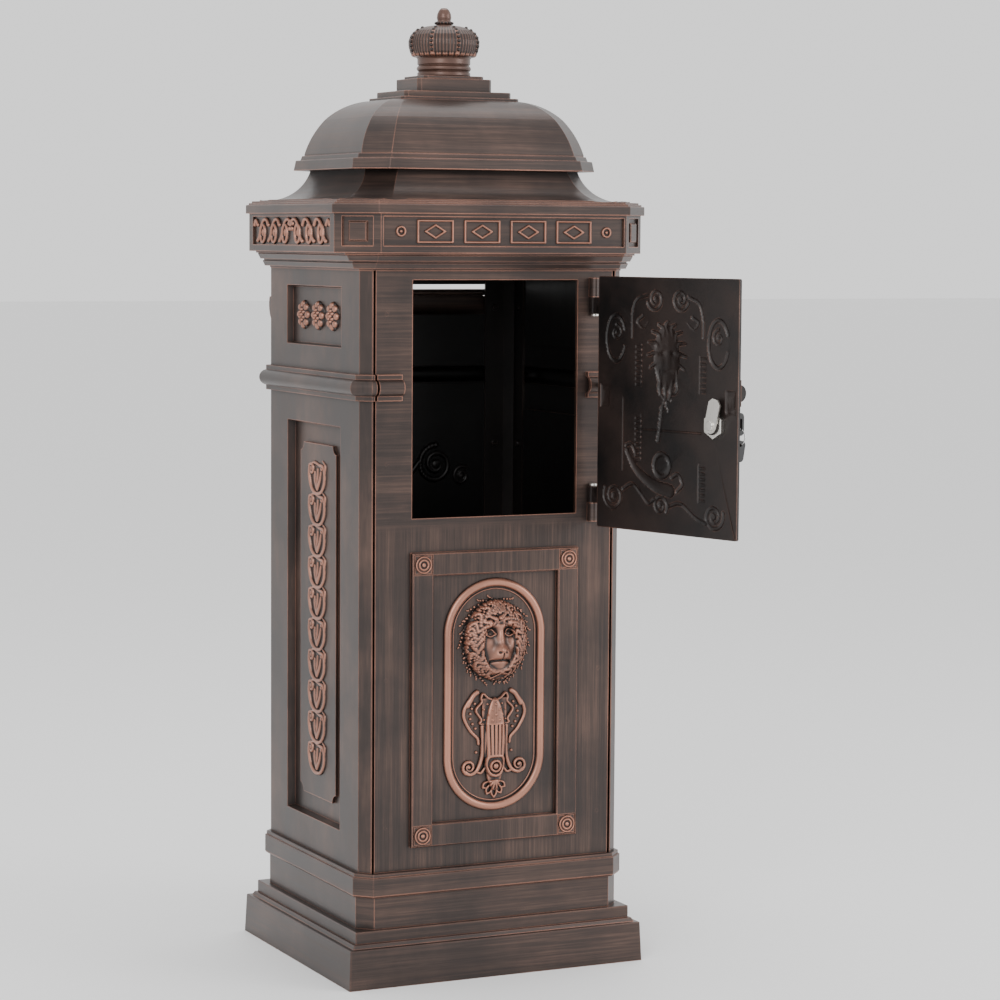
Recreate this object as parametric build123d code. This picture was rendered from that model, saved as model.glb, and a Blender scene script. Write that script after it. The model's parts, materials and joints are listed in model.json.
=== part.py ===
from build123d import *
import math
import os

# Free-standing cast-aluminium pillar letterbox, in millimetres.
# X runs along the front from left to right, the front faces -Y and Z is up.
# The origin is the middle of the foot, on the ground. The door is modelled open, as it is stored.

# ---- Body of the pillar ----
body_width = 301.4
body_depth = 270.4
body_chamfer = 10.3
wall = 4.0
body_foot = 118.0
body_top = 745.0
seam_gap = 2.6
seam_inset = 11.3

# ---- Foot: each moulding stands out from the body by (side, front) ----
slab_out = (20.7, 18.3)
slab_draft = 1.8
slab_height = 42.0
cove_out = (14.0, 11.5)
cove_height = 4.0
step_out = (9.3, 6.8)
step_height = 13.0
skirting_out = (1.8, 2.8)
skirting_chamfer = 15.0
belt_out = (6.3, 7.8)
belt_chamfer = 16.3
belt_height = 25.0
belt_bead = 4.0
foot_wall = 5.0
ledge = 5.0
ledge_width = 15.0
corner_gusset = 22.0

# ---- Waist moulding ----
waist_middle = 624.5
waist_height = 27.0
waist_strip_out = 5.0
waist_bead_out = 12.0
waist_bead_height = 17.0
stub_left_end = 108.5
stub_right_end = 106.2

# ---- Door opening, door and hinge ----
opening_width = 190.4
opening_foot = 488.0
opening_top = 735.3
door_overlap_left = 8.8
door_overlap_right = 6.0
door_overlap_foot = 13.2
door_overlap_top = 4.4
door_thickness = 4.5
door_gap = 0.5
hinge_offset = 17.8
hinge_stand_off = 5.8
knuckle_radius = 4.75
hinge_pin_radius = 2.5
frame_knuckle = 20.0
door_knuckle = 17.2
hinge_end_inset = 2.2
hinge_head_radius = 4.2
hinge_head_height = 2.6
door_rest_angle = 106.0

# ---- Lower framed panel on the front and the back ----
frame_width = 193.0
frame_foot = 142.5
frame_top = 452.0
frame_bar = 24.0
frame_proud = 5.8
rosette_radius = 9.0
oval_width = 116.6
oval_height = 246.7
oval_bar = 8.0
oval_proud = 3.6
mask_core = (26.0, 30.0)
mask_core_proud = 9.0
mask_height = 357.0
pendant_core = (8.0, 40.0)
pendant_core_proud = 5.0
pendant_height = 246.0
door_mask_core = (20.0, 44.0)
door_mask_height = 656.0
door_mask_proud = 6.0

# ---- Side castings: upper and long recess ----
long_recess_width = 150.0
long_recess_foot = 154.0
long_recess_top = 581.0
long_recess_depth = 9.0
raised_plate_margin = (25.0, 22.5)
raised_plate_notch = 9.0
raised_plate_height = 3.5
small_recess_width = 153.0
small_recess_foot = 664.0
small_recess_top = 727.0
small_recess_depth = 7.0
recess_slope = 12.0
flower_radius = 15.5
flower_pitch = 40.5
flower_height = 2.2

# ---- Cornice ----
neck_height = 2.0
cyma_out = (9.3, 11.3)
cyma_chamfer = 19.0
cyma_height = 7.6
ovolo_out = (15.3, 16.8)
ovolo_chamfer = 25.0
ovolo_height = 8.4
frieze_out = (26.8, 22.8)
frieze_chamfer = 36.7
frieze_height = 40.5
crown_slab_out = (29.9, 25.4)
crown_slab_height = 9.5
cap_step = 2.0
cap_inset = 3.0
frieze_front_recess = 275.8
frieze_side_recess = 220.0
frieze_corner_recess = 34.0
frieze_recess_height = 30.0
frieze_recess_depth = 2.4
corner_block = 20.0

# ---- Roof ----
skirt_height = 33.0
skirt_lip = 1.5
skirt_foot_out = (17.3, 12.8)
skirt_foot_chamfer = 34.0
skirt_top_in = (26.7, 33.2)
skirt_top_chamfer = 26.0
roof_flange = 5.0
rim_in = (9.7, 23.2)
rim_chamfer = 29.5
rim_height = 11.0
rim_step = 5.0
rim_step_in = 7.0
rim_batter = 1.8
dome_spring = 2.0
dome_in = (21.2, 28.4, 39.3, 49.5, 74.7)
dome_front_in = 10.5
dome_rises = (0.0, 20.0, 37.0, 46.0, 56.6)
dome_chamfers = (24.0, 23.0, 20.0, 17.0, 10.0)
dome_wall = 5.0
roof_opening_in = (50.7, 57.2)
roof_opening_chamfer = 16.0
roof_ledge_in = (22.7, 27.2)
skirt_room_in = (16.7, 23.2)
skirt_room_top_in = 10.0
skirt_screw_in = (9.7, 14.2)
dome_screw_out = 7.0

# ---- Finial ----
plinth_tiers = ((69.0, 46.0, 3.2), (62.5, 40.0, 6.5), (43.5, 31.0, 13.9), (35.0, 29.2, 3.2))
plinth_chamfer = 3.5
crown_neck_radius = 28.6
crown_neck_height = 20.3
crown_radius = 38.4
crown_height = 34.6
knob_radius = 8.0
knob_height = 18.7
stud_radius = 4.0

# ---- Rear mail slot and its flap ----
slot_width = 230.0
slot_foot = 692.0
slot_top = 726.0
flap_half_width = 144.5
flap_axis_height = 717.0
flap_axis_out = 4.0
flap_barrel_radius = 3.6
flap_drop = 31.0
flap_bulge = 11.5
flap_wall = 2.2
flap_back_gap = 1.0
flap_pin_radius = 1.5
flap_lug_width = 6.0
flap_lug_radius = 3.4
flap_lug_offset = 119.0

# ---- Inner corner angles, floor and fasteners ----
angle_thickness = 2.5
angle_leg = 24.0
angle_web = 10.5
floor_thickness = 2.5
floor_clearance = 0.3
tab_in = (18.2, 15.2)
access_radius = 9.0
anchor_radius = 5.5
anchor_spacing = (240.0, 200.0)
ground_plate = 4.0
ground_clearance = 0.4
gusset_thickness = 8.0
screw_radius = 2.0
screw_head_radius = 4.0
screw_head_height = 2.6
bolt_radius = 2.5
bolt_head_radius = 4.6
bolt_head_height = 3.2
nut_width = 8.0
nut_height = 4.0
thread_clearance = 0.05
screw_bite = 3.0
panel_screw_heights = (165.0, 320.0, 545.0, 700.0)

# ---- Cam lock and keys ----
lock_inset = 31.4
lock_height = 590.7
barrel_radius = 9.5
barrel_flange_radius = 12.5
barrel_flange = 7.5
plug_radius = 6.5
plug_proud = 0.5
lock_nut_width = 24.0
lock_nut_height = 5.0
cam_width = 16.0
cam_length = 28.0
cam_thickness = 2.0
cam_lean = 13.5
cam_behind = 1.6
tang = 6.0
fit = 0.05
key_thickness = 2.0
key_height = 7.6
key_reach = 16.2
key_shoulder = 5.5
key_shoulder_height = 9.6
key_head_length = 22.0
key_head_height = 23.5
key_head_thickness = 4.6
key_slot = (12.0, 3.3)
key_slot_inset = 5.0
ring_radius = 8.0
ring_wire = 0.6
ring_play = 0.5
spare_lean = 11.0

# ---- Values worked out from those above ----
half_x = body_width / 2
half_y = body_depth / 2
panel_half = half_x - seam_inset - seam_gap
casting_edge = half_x - seam_inset
inner_chamfer = body_chamfer - wall * (2 - math.sqrt(2))
opening_half = opening_width / 2
door_left = -opening_half - door_overlap_left
door_right = opening_half + door_overlap_right
door_foot = opening_foot - door_overlap_foot
door_top = opening_top + door_overlap_top
door_inner = -half_y - door_gap
door_outer = door_inner - door_thickness
hinge_x = opening_half + hinge_offset
hinge_y = -half_y - hinge_stand_off
cove_foot = slab_height
step_foot = cove_foot + cove_height
skirting_foot = step_foot + step_height
belt_foot = body_foot - belt_height
cornice_foot = body_top
cyma_foot = cornice_foot + neck_height
ovolo_foot = cyma_foot + cyma_height
frieze_foot = ovolo_foot + ovolo_height
crown_slab_foot = frieze_foot + frieze_height
cap_foot = crown_slab_foot + crown_slab_height
skirt_foot = cap_foot + 2 * cap_step
dome_foot = skirt_foot + skirt_height
spring_height = dome_foot + rim_height + rim_step
dome_top = spring_height + dome_rises[-1] + dome_spring
crown_foot = dome_top + sum(part[2] for part in plinth_tiers)
roof_opening = (half_x - roof_opening_in[0], half_y - roof_opening_in[1], roof_opening_chamfer)
lock_x = door_left + lock_inset
lock_face = door_outer - barrel_flange
cam_front = -half_y + wall + cam_behind
slot_y = lock_face - plug_proud - key_shoulder - key_head_length + key_slot_inset
ring_top = lock_height - key_slot[0] / 2 + ring_wire + ring_play
tab_point = (half_x - tab_in[0], half_y - tab_in[1])
skirt_screw_point = (half_x - skirt_screw_in[0], half_y - skirt_screw_in[1])
dome_screw_point = (roof_opening[0] + dome_screw_out, roof_opening[1] + dome_screw_out)


def plan(size_x, size_y, chamfer):
    """Chamfered rectangle in the ground plane, given by its half sizes."""
    if chamfer == 0:
        return Rectangle(2 * size_x, 2 * size_y)
    corner = [(size_x, size_y - chamfer), (size_x - chamfer, size_y)]
    points = corner + [(-x, y) for x, y in reversed(corner)]
    points += [(-x, -y) for x, y in corner] + [(x, -y) for x, y in reversed(corner)]
    return make_face(Polyline(*points, close=True))


def block(low, high, size):
    """Upright prism of a chamfered rectangle."""
    return Pos(0, 0, low) * extrude(plan(*size), high - low)


def tier(low, high, bottom, top, edge=0.9):
    """Moulding between two chamfered rectangles, with its upper and upright edges softened."""
    solid = loft([Pos(0, 0, low) * plan(*bottom), Pos(0, 0, high) * plan(*top)], ruled=True)
    middle = (low + high) / 2
    upper = solid.edges().filter_by(lambda item: item.center().Z > middle - 0.01)
    return fillet(upper, edge)


def around(out, chamfer=body_chamfer):
    """Size of a plan that stands out from the body by (side, front)."""
    return (half_x + out[0], half_y + out[1], chamfer)


def wall_pair(outline, turn):
    """Two opposite walls, both following one upright outline, as a long bar."""
    left = mirror(outline, Plane.YZ)
    foot = Line(left @ 0, outline @ 0)
    top = Line(outline @ 1, left @ 1)
    face = make_face(Curve() + [*outline.edges(), *left.edges(), foot, top])
    return Rot(0, 0, turn) * extrude(Plane.XZ * face, 2 * half_x, both=True)


def eight_walls(outline_at, distances):
    """Solid with side, front and corner walls at the given distances from the axis."""
    side, front, corner = distances
    solid = wall_pair(outline_at(side, 0), 0) & wall_pair(outline_at(front, 1), 90)
    solid = solid & wall_pair(outline_at(corner, 2), 45)
    return solid & wall_pair(outline_at(corner, 2), -45)


def corner_distance(size_x, size_y, chamfer):
    """Distance from the axis to a corner wall."""
    return (size_x + size_y - chamfer) / math.sqrt(2)


def waist(inset):
    """Solid body of the pillar at the waist: two flat strips with a half-round bead between."""
    low = waist_middle - waist_height / 2 + inset
    high = waist_middle + waist_height / 2 - inset
    bead = waist_bead_height / 2

    def outline(distance, which):
        strip = distance + waist_strip_out - inset
        crest = distance + waist_bead_out - inset
        foot_strip = Line((strip, low), (strip, waist_middle - bead))
        arc = ThreePointArc(foot_strip @ 1, (crest, waist_middle), (strip, waist_middle + bead))
        top_strip = Line(arc @ 1, (strip, high))
        return Wire([foot_strip, arc, top_strip])

    corner = corner_distance(half_x, half_y, body_chamfer)
    return eight_walls(outline, (half_x, half_y, corner))


def body_tube():
    """Whole pillar wall with its waist moulding, before it is divided into castings."""
    outer = block(body_foot, body_top, (half_x, half_y, body_chamfer)) + waist(0)
    inner_size = (half_x - wall, half_y - wall, inner_chamfer)
    inner = block(body_foot - 1, body_top + 1, inner_size) + waist(wall)
    return outer - inner


def span(x_low, x_high, y_low, y_high, z_low, z_high):
    """Box between six planes."""
    centre = Pos((x_low + x_high) / 2, (y_low + y_high) / 2, (z_low + z_high) / 2)
    return centre * Box(x_high - x_low, y_high - y_low, z_high - z_low)


def recess(width, foot, top, depth):
    """Tray with sloping sides, cut into the right-hand side of the body."""
    mouth = Pos(0, (foot + top) / 2) * Rectangle(width, top - foot)
    tray = extrude(mouth, depth, taper=recess_slope)
    return Pos(half_x, 0, 0) * Rot(0, 0, 90) * Rot(90, 0, 0) * mirror(tray, Plane.XY)


def tray_backing(width, foot, top, depth):
    """Metal behind a tray, so that the wall keeps its thickness there."""
    room = wall + 1
    return span(half_x - depth - wall, half_x - 1, -width / 2 - room, width / 2 + room, foot - room, top + room)


def raised_plate():
    """Plate with notched corners in the long recess."""
    margin_y, margin_z = raised_plate_margin
    width = long_recess_width - 2 * margin_y
    foot = long_recess_foot + margin_z
    top = long_recess_top - margin_z
    floor = half_x - long_recess_depth
    plate = span(floor - 1, floor + raised_plate_height, -width / 2, width / 2, foot, top)
    for y in (-width / 2, width / 2):
        for z in (foot, top):
            notch = Cylinder(raised_plate_notch, 4 * raised_plate_height)
            plate -= Pos(floor, y, z) * Rot(0, 90, 0) * notch
    return plate


def flowers():
    """Three round bosses in the small recess."""
    floor = half_x - small_recess_depth
    middle = (small_recess_foot + small_recess_top) / 2
    bosses = Part()
    for place in (-1, 0, 1):
        boss = Cylinder(flower_radius * 0.8, 1 + flower_height)
        bosses += Pos(floor + (flower_height - 1) / 2, place * flower_pitch, middle) * Rot(0, 90, 0) * boss
    return bosses


def screw(shank_radius, length, head_radius, head_height):
    """Pan-head screw: shank along +Z from the seat at the origin, head below it."""
    head = Pos(0, 0, -head_height / 2) * Cylinder(head_radius, head_height)
    head = fillet(head.edges().group_by(Axis.Z)[0], head_height * 0.4)
    slot = Pos(0, 0, -head_height) * Box(2.2 * head_radius, 1.0, head_height * 0.7)
    return head - slot + Pos(0, 0, length / 2) * Cylinder(shank_radius, length)


def bore(radius, length):
    """Hole along +Z from the origin."""
    return Pos(0, 0, length / 2) * Cylinder(radius, length)


def corners():
    """Signs of the four corners."""
    return [(sign_x, sign_y) for sign_x in (-1, 1) for sign_y in (-1, 1)]


def aim(axis, sign):
    """Turns +Z to look along X or Y, outwards."""
    if axis == "x":
        return Rot(0, 90 * sign, 0)
    return Rot(-90 * sign, 0, 0)


def panel_screw_places():
    """Seats and directions of the screws that hold the wall castings to the corner angles."""
    leg_middle = angle_leg / 2
    corner_x = half_x - wall - angle_web
    corner_y = half_y - wall - angle_web
    places = []
    for sign_x, sign_y in corners():
        for height in panel_screw_heights:
            front = (sign_x * (corner_x - leg_middle), sign_y * (half_y - wall - angle_thickness), height)
            side = (sign_x * (half_x - wall - angle_thickness), sign_y * (corner_y - leg_middle), height)
            places.append(Pos(*front) * aim("y", sign_y))
            places.append(Pos(*side) * aim("x", sign_x))
    return places


def panel_screw_holes():
    """Tapped pockets for those screws, as one tool."""
    pocket = bore(screw_radius + thread_clearance, angle_thickness + screw_bite)
    holes = Part()
    for place in panel_screw_places():
        holes += place * pocket
    return holes


def tab_places(height):
    """Centres of the four corner bolts at a height."""
    return [Pos(sign_x * tab_point[0], sign_y * tab_point[1], height) for sign_x, sign_y in corners()]


def ring_places(point_x, point_y, height):
    """Eight places round the roof: two on each side."""
    places = []
    for sign_x, sign_y in corners():
        places.append(Pos(sign_x * point_x, sign_y * point_y * 0.5, height))
        places.append(Pos(sign_x * point_x * 0.5, sign_y * point_y, height))
    return places


def placed_corner(piece, sign_x, sign_y):
    """Copy of a piece from the +X +Y corner in another corner, by mirroring."""
    if sign_x < 0:
        piece = mirror(piece, Plane.YZ)
    if sign_y < 0:
        piece = mirror(piece, Plane.XZ)
    return piece


def gusset_centre():
    """Screw place of the ground plate in the +X +Y corner."""
    inset = slab_draft + foot_wall + corner_gusset / 2
    return Pos(half_x + slab_out[0] - inset, half_y + slab_out[1] - inset, 0)


def base_plinth():
    slab_low = (half_x + slab_out[0], half_y + slab_out[1], 0)
    slab_high = (slab_low[0] - slab_draft, slab_low[1] - slab_draft, 0)
    cove_low = (half_x + cove_out[0], half_y + cove_out[1], 0)
    cove_high = (cove_low[0] - 2, cove_low[1] - 2, 0)
    step_size = (half_x + step_out[0], half_y + step_out[1], 0)
    skirting_size = around(skirting_out, skirting_chamfer)
    belt_size = around(belt_out, belt_chamfer)
    lip = (belt_size[0] - 1.6, belt_size[1] - 1.6, belt_chamfer - 0.9)
    belt_break = body_foot - belt_bead
    solid = tier(0, slab_height, slab_low, slab_high, 1.4)
    solid += tier(cove_foot, step_foot, cove_low, cove_high)
    solid += tier(step_foot, skirting_foot, step_size, step_size, 1.1)
    solid += block(skirting_foot, belt_foot, skirting_size)
    solid += tier(belt_foot, belt_foot + 2.0, lip, belt_size, 0.4)
    solid += tier(belt_foot + 2.0, belt_break, belt_size, belt_size, 1.1)
    solid += tier(belt_break, body_foot, lip, lip, 1.1)
    slab_room = (slab_high[0] - foot_wall, slab_high[1] - foot_wall, 0)
    step_room = (step_size[0] - foot_wall, step_size[1] - foot_wall, 0)
    skirting_room = (skirting_size[0] - foot_wall, skirting_size[1] - foot_wall, skirting_chamfer - 3)
    ledge_room = (half_x - ledge_width, half_y - ledge_width, corner_gusset)
    solid -= block(-1, slab_height - foot_wall, slab_room)
    solid -= block(slab_height - foot_wall - 1, skirting_foot - foot_wall, step_room)
    solid -= block(skirting_foot - foot_wall - 1, body_foot - ledge, skirting_room)
    solid -= block(body_foot - ledge - 1, body_foot + 1, ledge_room)
    for sign_x, sign_y in corners():
        low = (slab_room[0] - corner_gusset, slab_room[1] - corner_gusset)
        top = ground_plate + gusset_thickness
        gusset = span(low[0], slab_room[0] + 1, low[1], slab_room[1] + 1, ground_plate, top)
        gusset -= gusset_centre() * bore(bolt_radius + thread_clearance, top - 1)
        solid += placed_corner(gusset, sign_x, sign_y)
    for place in tab_places(body_foot - ledge - 1):
        solid -= place * bore(bolt_radius + thread_clearance, ledge + 2)
    return solid


def flat_screw():
    """Flat-head screw: head flush with the ground plate's underside, shank along +Z."""
    cone = Pos(0, 0, 1.25) * Cone(2 * bolt_radius, bolt_radius, 2.5)
    shank = bore(bolt_radius, ground_plate + gusset_thickness - 1.5)
    return cone + shank


def ground_plate_piece():
    room = slab_draft + foot_wall + ground_clearance
    size = (half_x + slab_out[0] - room, half_y + slab_out[1] - room, 0)
    plate = block(0, ground_plate, size)
    cone = Pos(0, 0, 1.25) * Cone(2 * bolt_radius + fit, bolt_radius + fit, 2.5)
    for sign_x, sign_y in corners():
        hole = gusset_centre() * (cone + bore(bolt_radius + thread_clearance, ground_plate + 1))
        plate -= placed_corner(hole, sign_x, sign_y)
        anchor = Pos(sign_x * anchor_spacing[0] / 2, sign_y * anchor_spacing[1] / 2, -1)
        plate -= anchor * bore(anchor_radius, ground_plate + 2)
    return plate


def ground_plate_screws():
    return [placed_corner(gusset_centre() * flat_screw(), sign_x, sign_y) for sign_x, sign_y in corners()]


def floor_plate():
    inset = wall + floor_clearance
    size = (half_x - inset, half_y - inset, inner_chamfer + floor_clearance)
    plate = block(body_foot, body_foot + floor_thickness, size)
    for place in tab_places(body_foot - 1):
        plate -= place * bore(bolt_radius + thread_clearance, floor_thickness + 2)
    for sign_x, sign_y in corners():
        access = Pos(sign_x * anchor_spacing[0] / 2 * 0.8, sign_y * anchor_spacing[1] / 2 * 0.8, body_foot - 1)
        plate -= access * bore(access_radius, floor_thickness + 2)
    return plate


def floor_bolts():
    grip = floor_thickness + angle_thickness + ledge + nut_height
    bolt = screw(bolt_radius, grip, bolt_head_radius, bolt_head_height)
    seat = body_foot + floor_thickness + angle_thickness
    return [place * Rot(180, 0, 0) * bolt for place in tab_places(seat)]


def floor_nuts():
    hexagon = extrude(RegularPolygon(nut_width / 2, 6, major_radius=False), nut_height)
    nut = hexagon - Pos(0, 0, -1) * bore(bolt_radius + thread_clearance, nut_height + 2)
    return [place * nut for place in tab_places(body_foot - ledge - nut_height)]


def wall_castings():
    """Front, back, left and right castings, divided out of one tube."""
    tube = body_tube()
    edge = casting_edge
    far = 2 * half_x
    low = body_foot - 1
    high = body_top + 1
    right = tube & span(edge, far, -far, far, low, high)
    front = tube & span(-panel_half, panel_half, -far, 0, low, high)
    back = tube & span(-panel_half, panel_half, 0, far, low, high)
    return front, back, right


def side_casting(blank):
    """Right-hand side casting with its two trays, finished from the plain blank."""
    solid = blank
    solid += tray_backing(long_recess_width, long_recess_foot, long_recess_top, long_recess_depth)
    solid += tray_backing(small_recess_width, small_recess_foot, small_recess_top, small_recess_depth)
    solid -= recess(long_recess_width, long_recess_foot, long_recess_top, long_recess_depth)
    solid -= recess(small_recess_width, small_recess_foot, small_recess_top, small_recess_depth)
    solid += raised_plate()
    solid += flowers()
    solid -= panel_screw_holes()
    return solid


def bar_frame():
    """Square-cut frame with its corner rosettes, on the front face."""
    outer = Pos(0, (frame_foot + frame_top) / 2) * Rectangle(frame_width, frame_top - frame_foot)
    inner_size = (frame_width - 2 * frame_bar, frame_top - frame_foot - 2 * frame_bar)
    inner = Pos(0, (frame_foot + frame_top) / 2) * Rectangle(*inner_size)
    frame = extrude(outer - inner, frame_proud)
    frame = chamfer(frame.edges().group_by(Axis.Z)[-1], 1.0)
    for x in (-1, 1):
        for height in (frame_foot + frame_bar / 2, frame_top - frame_bar / 2):
            centre = Pos(x * (frame_width - frame_bar) / 2, height, frame_proud)
            groove = Rectangle(frame_bar - 3, frame_bar - 3) - Rectangle(frame_bar - 5, frame_bar - 5)
            frame -= centre * extrude(groove, 0.8, both=True)
            frame += centre * Cylinder(rosette_radius, 2.0)
            frame -= centre * Pos(0, 0, 1) * Torus(rosette_radius * 0.62, 0.7)
    return frame


def oval():
    """Long oval ring in the middle of the framed field."""
    middle = (frame_foot + frame_top) / 2 + 1.5
    outer = SlotOverall(oval_height, oval_width, rotation=90)
    inner = SlotOverall(oval_height - 2 * oval_bar, oval_width - 2 * oval_bar, rotation=90)
    ring = extrude(outer - inner, oval_proud)
    ring = fillet(ring.edges().group_by(Axis.Z)[-1], oval_bar * 0.3)
    return Pos(0, middle, 0) * ring


def core(size, height, proud):
    """Plain core under a cast ornament."""
    return Pos(0, height, -0.5) * extrude(Ellipse(*size), proud + 0.5, taper=30)


def on_front(piece):
    """Stands a piece drawn flat (X, height, stand-out) on the front face."""
    return Pos(0, -half_y, 0) * Rot(90, 0, 0) * piece


def frame_knuckle_piece(low, high, bore_low, bore_high):
    """Hinge knuckle on the front casting with a blind hole for its pin."""
    barrel = Pos(hinge_x, hinge_y, low) * bore(knuckle_radius, high - low)
    web = span(hinge_x - 4, hinge_x + 4, hinge_y, -half_y + 0.5, low, high)
    hole = Pos(hinge_x, hinge_y, bore_low) * bore(hinge_pin_radius + 0.02, bore_high - bore_low)
    return barrel + web - hole


def knuckle_heights():
    """Foot and top of the frame knuckles: lower pair, upper pair."""
    low_foot = door_foot + hinge_end_inset + 2
    high_top = door_top - hinge_end_inset
    return (low_foot, low_foot + frame_knuckle), (high_top - frame_knuckle, high_top)


def front_panel(blank):
    (low_foot, low_top), (high_foot, high_top) = knuckle_heights()
    solid = blank
    waist_low = waist_middle - waist_height / 2 - 1
    waist_high = waist_middle + waist_height / 2 + 1
    solid -= span(-stub_left_end, stub_right_end, -2 * half_y, -half_y, waist_low, waist_high)
    groove_fill = span(-opening_half - 15, opening_half + 15, -half_y, -half_y + wall, waist_low, waist_high)
    solid += groove_fill
    solid -= span(-opening_half, opening_half, -2 * half_y, 0, opening_foot, opening_top)
    solid += on_front(bar_frame())
    solid += on_front(oval())
    solid += on_front(core(mask_core, mask_height, mask_core_proud))
    solid += on_front(core(pendant_core, pendant_height, pendant_core_proud))
    solid += frame_knuckle_piece(low_foot, low_top, low_foot + 2, low_top)
    solid += frame_knuckle_piece(high_foot, high_top, high_foot, high_top - 2)
    return solid - panel_screw_holes()


def slot_lug(sign):
    """Lug on the back casting that carries one end of the mail flap."""
    low = sign * flap_lug_offset - flap_lug_width / 2
    axis_y = half_y + flap_axis_out
    barrel = Pos(sign * flap_lug_offset, axis_y, flap_axis_height) * Rot(0, 90, 0)
    lug = barrel * Cylinder(flap_lug_radius, flap_lug_width)
    lug += span(low, low + flap_lug_width, half_y - 1, axis_y, flap_axis_height - 3, flap_axis_height + 3)
    return lug - barrel * Cylinder(flap_pin_radius + fit, flap_lug_width + 2)


def back_panel(blank):
    solid = blank
    solid += Rot(0, 0, 180) * on_front(bar_frame())
    solid += Rot(0, 0, 180) * on_front(oval())
    solid -= span(-slot_width / 2, slot_width / 2, 0, 2 * half_y, slot_foot, slot_top)
    solid += slot_lug(-1)
    solid += slot_lug(1)
    return solid - panel_screw_holes()


def flap_axis(x):
    """Place on the flap's hinge axis; +Z of the place looks along +X."""
    return Pos(x, half_y + flap_axis_out, flap_axis_height) * Rot(0, 90, 0)


def mail_flap():
    """Curved flap with a rolled hinge barrel, which hangs over the slot on its two pins."""
    back = half_y + flap_back_gap
    foot = flap_axis_height - flap_drop
    top = (half_y + flap_axis_out + flap_barrel_radius, flap_axis_height)
    crest = (half_y + flap_bulge, flap_axis_height - flap_drop * 0.48)
    inner_crest = (crest[0] - flap_wall, crest[1])
    outer = ThreePointArc(top, crest, (back + flap_wall, foot))
    inner = ThreePointArc((back, foot), inner_crest, (top[0] - flap_wall, top[1]))
    skin = make_face(Curve() + [outer, Line(outer @ 1, inner @ 0), inner, Line(inner @ 1, outer @ 0)])
    cheek = make_face(Curve() + [outer, Line(outer @ 1, (back, foot)), Line((back, foot), (back, top[1])),
                                 Line((back, top[1]), top)])
    flap = extrude(Plane.YZ * skin, flap_half_width, both=True)
    for sign in (-1, 1):
        end = extrude(Plane.YZ * cheek, flap_wall / 2, both=True)
        flap += Pos(sign * (flap_half_width - flap_wall / 2), 0, 0) * end
    barrel_half = flap_lug_offset - flap_lug_width / 2 - 0.4
    beyond = flap_lug_radius + 0.8
    for sign in (-1, 1):
        low, high = sorted((sign * barrel_half, sign * 2 * half_x))
        flap -= span(low, high, 0, 2 * half_y, flap_axis_height - beyond, flap_axis_height + 50)
    flap += flap_axis(0) * Cylinder(flap_barrel_radius, 2 * barrel_half)
    for sign in (-1, 1):
        flap -= flap_axis(sign * barrel_half) * Cylinder(flap_pin_radius + fit, 2 * flap_lug_width + 0.4)
    return flap


def flap_pins():
    """Headed pins through the lugs into the ends of the flap's barrel."""
    length = 2 * flap_lug_width
    pins = []
    for sign in (-1, 1):
        outer_end = flap_lug_offset + flap_lug_width / 2
        pin = flap_axis(sign * (outer_end - length / 2)) * Cylinder(flap_pin_radius, length)
        head = flap_axis(sign * (outer_end + 0.6)) * Cylinder(flap_lug_radius - 0.4, 1.2)
        pins.append(pin + head)
    return pins


def corner_angle(sign_x, sign_y):
    """Upright angle that ties two wall castings, with a tab at each end."""
    outer_x = half_x - wall
    outer_y = half_y - wall
    points = [
        (outer_x - angle_web - angle_leg, outer_y),
        (outer_x - angle_web, outer_y),
        (outer_x, outer_y - angle_web),
        (outer_x, outer_y - angle_web - angle_leg),
        (outer_x - angle_thickness, outer_y - angle_web - angle_leg),
        (outer_x - angle_thickness, outer_y - angle_web - angle_thickness * 0.41),
        (outer_x - angle_web - angle_thickness * 0.41, outer_y - angle_thickness),
        (outer_x - angle_web - angle_leg, outer_y - angle_thickness),
    ]
    foot = body_foot + floor_thickness
    profile = make_face(Polyline(*points, close=True))
    piece = Pos(0, 0, foot) * extrude(profile, body_top - foot)
    tab = make_face(Polyline(points[0], points[1], points[2], points[3], close=True))
    piece += Pos(0, 0, foot) * extrude(tab, angle_thickness)
    piece += Pos(0, 0, body_top - angle_thickness) * extrude(tab, angle_thickness)
    for height in (foot - 1, body_top - angle_thickness - 1):
        hole = Pos(tab_point[0], tab_point[1], height) * bore(bolt_radius + thread_clearance, angle_thickness + 2)
        piece -= hole
    piece = placed_corner(piece, sign_x, sign_y)
    return piece - panel_screw_holes()


def panel_screws():
    fixing = screw(screw_radius, angle_thickness + screw_bite - 0.2, screw_head_radius, screw_head_height)
    return [place * fixing for place in panel_screw_places()]


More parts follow.
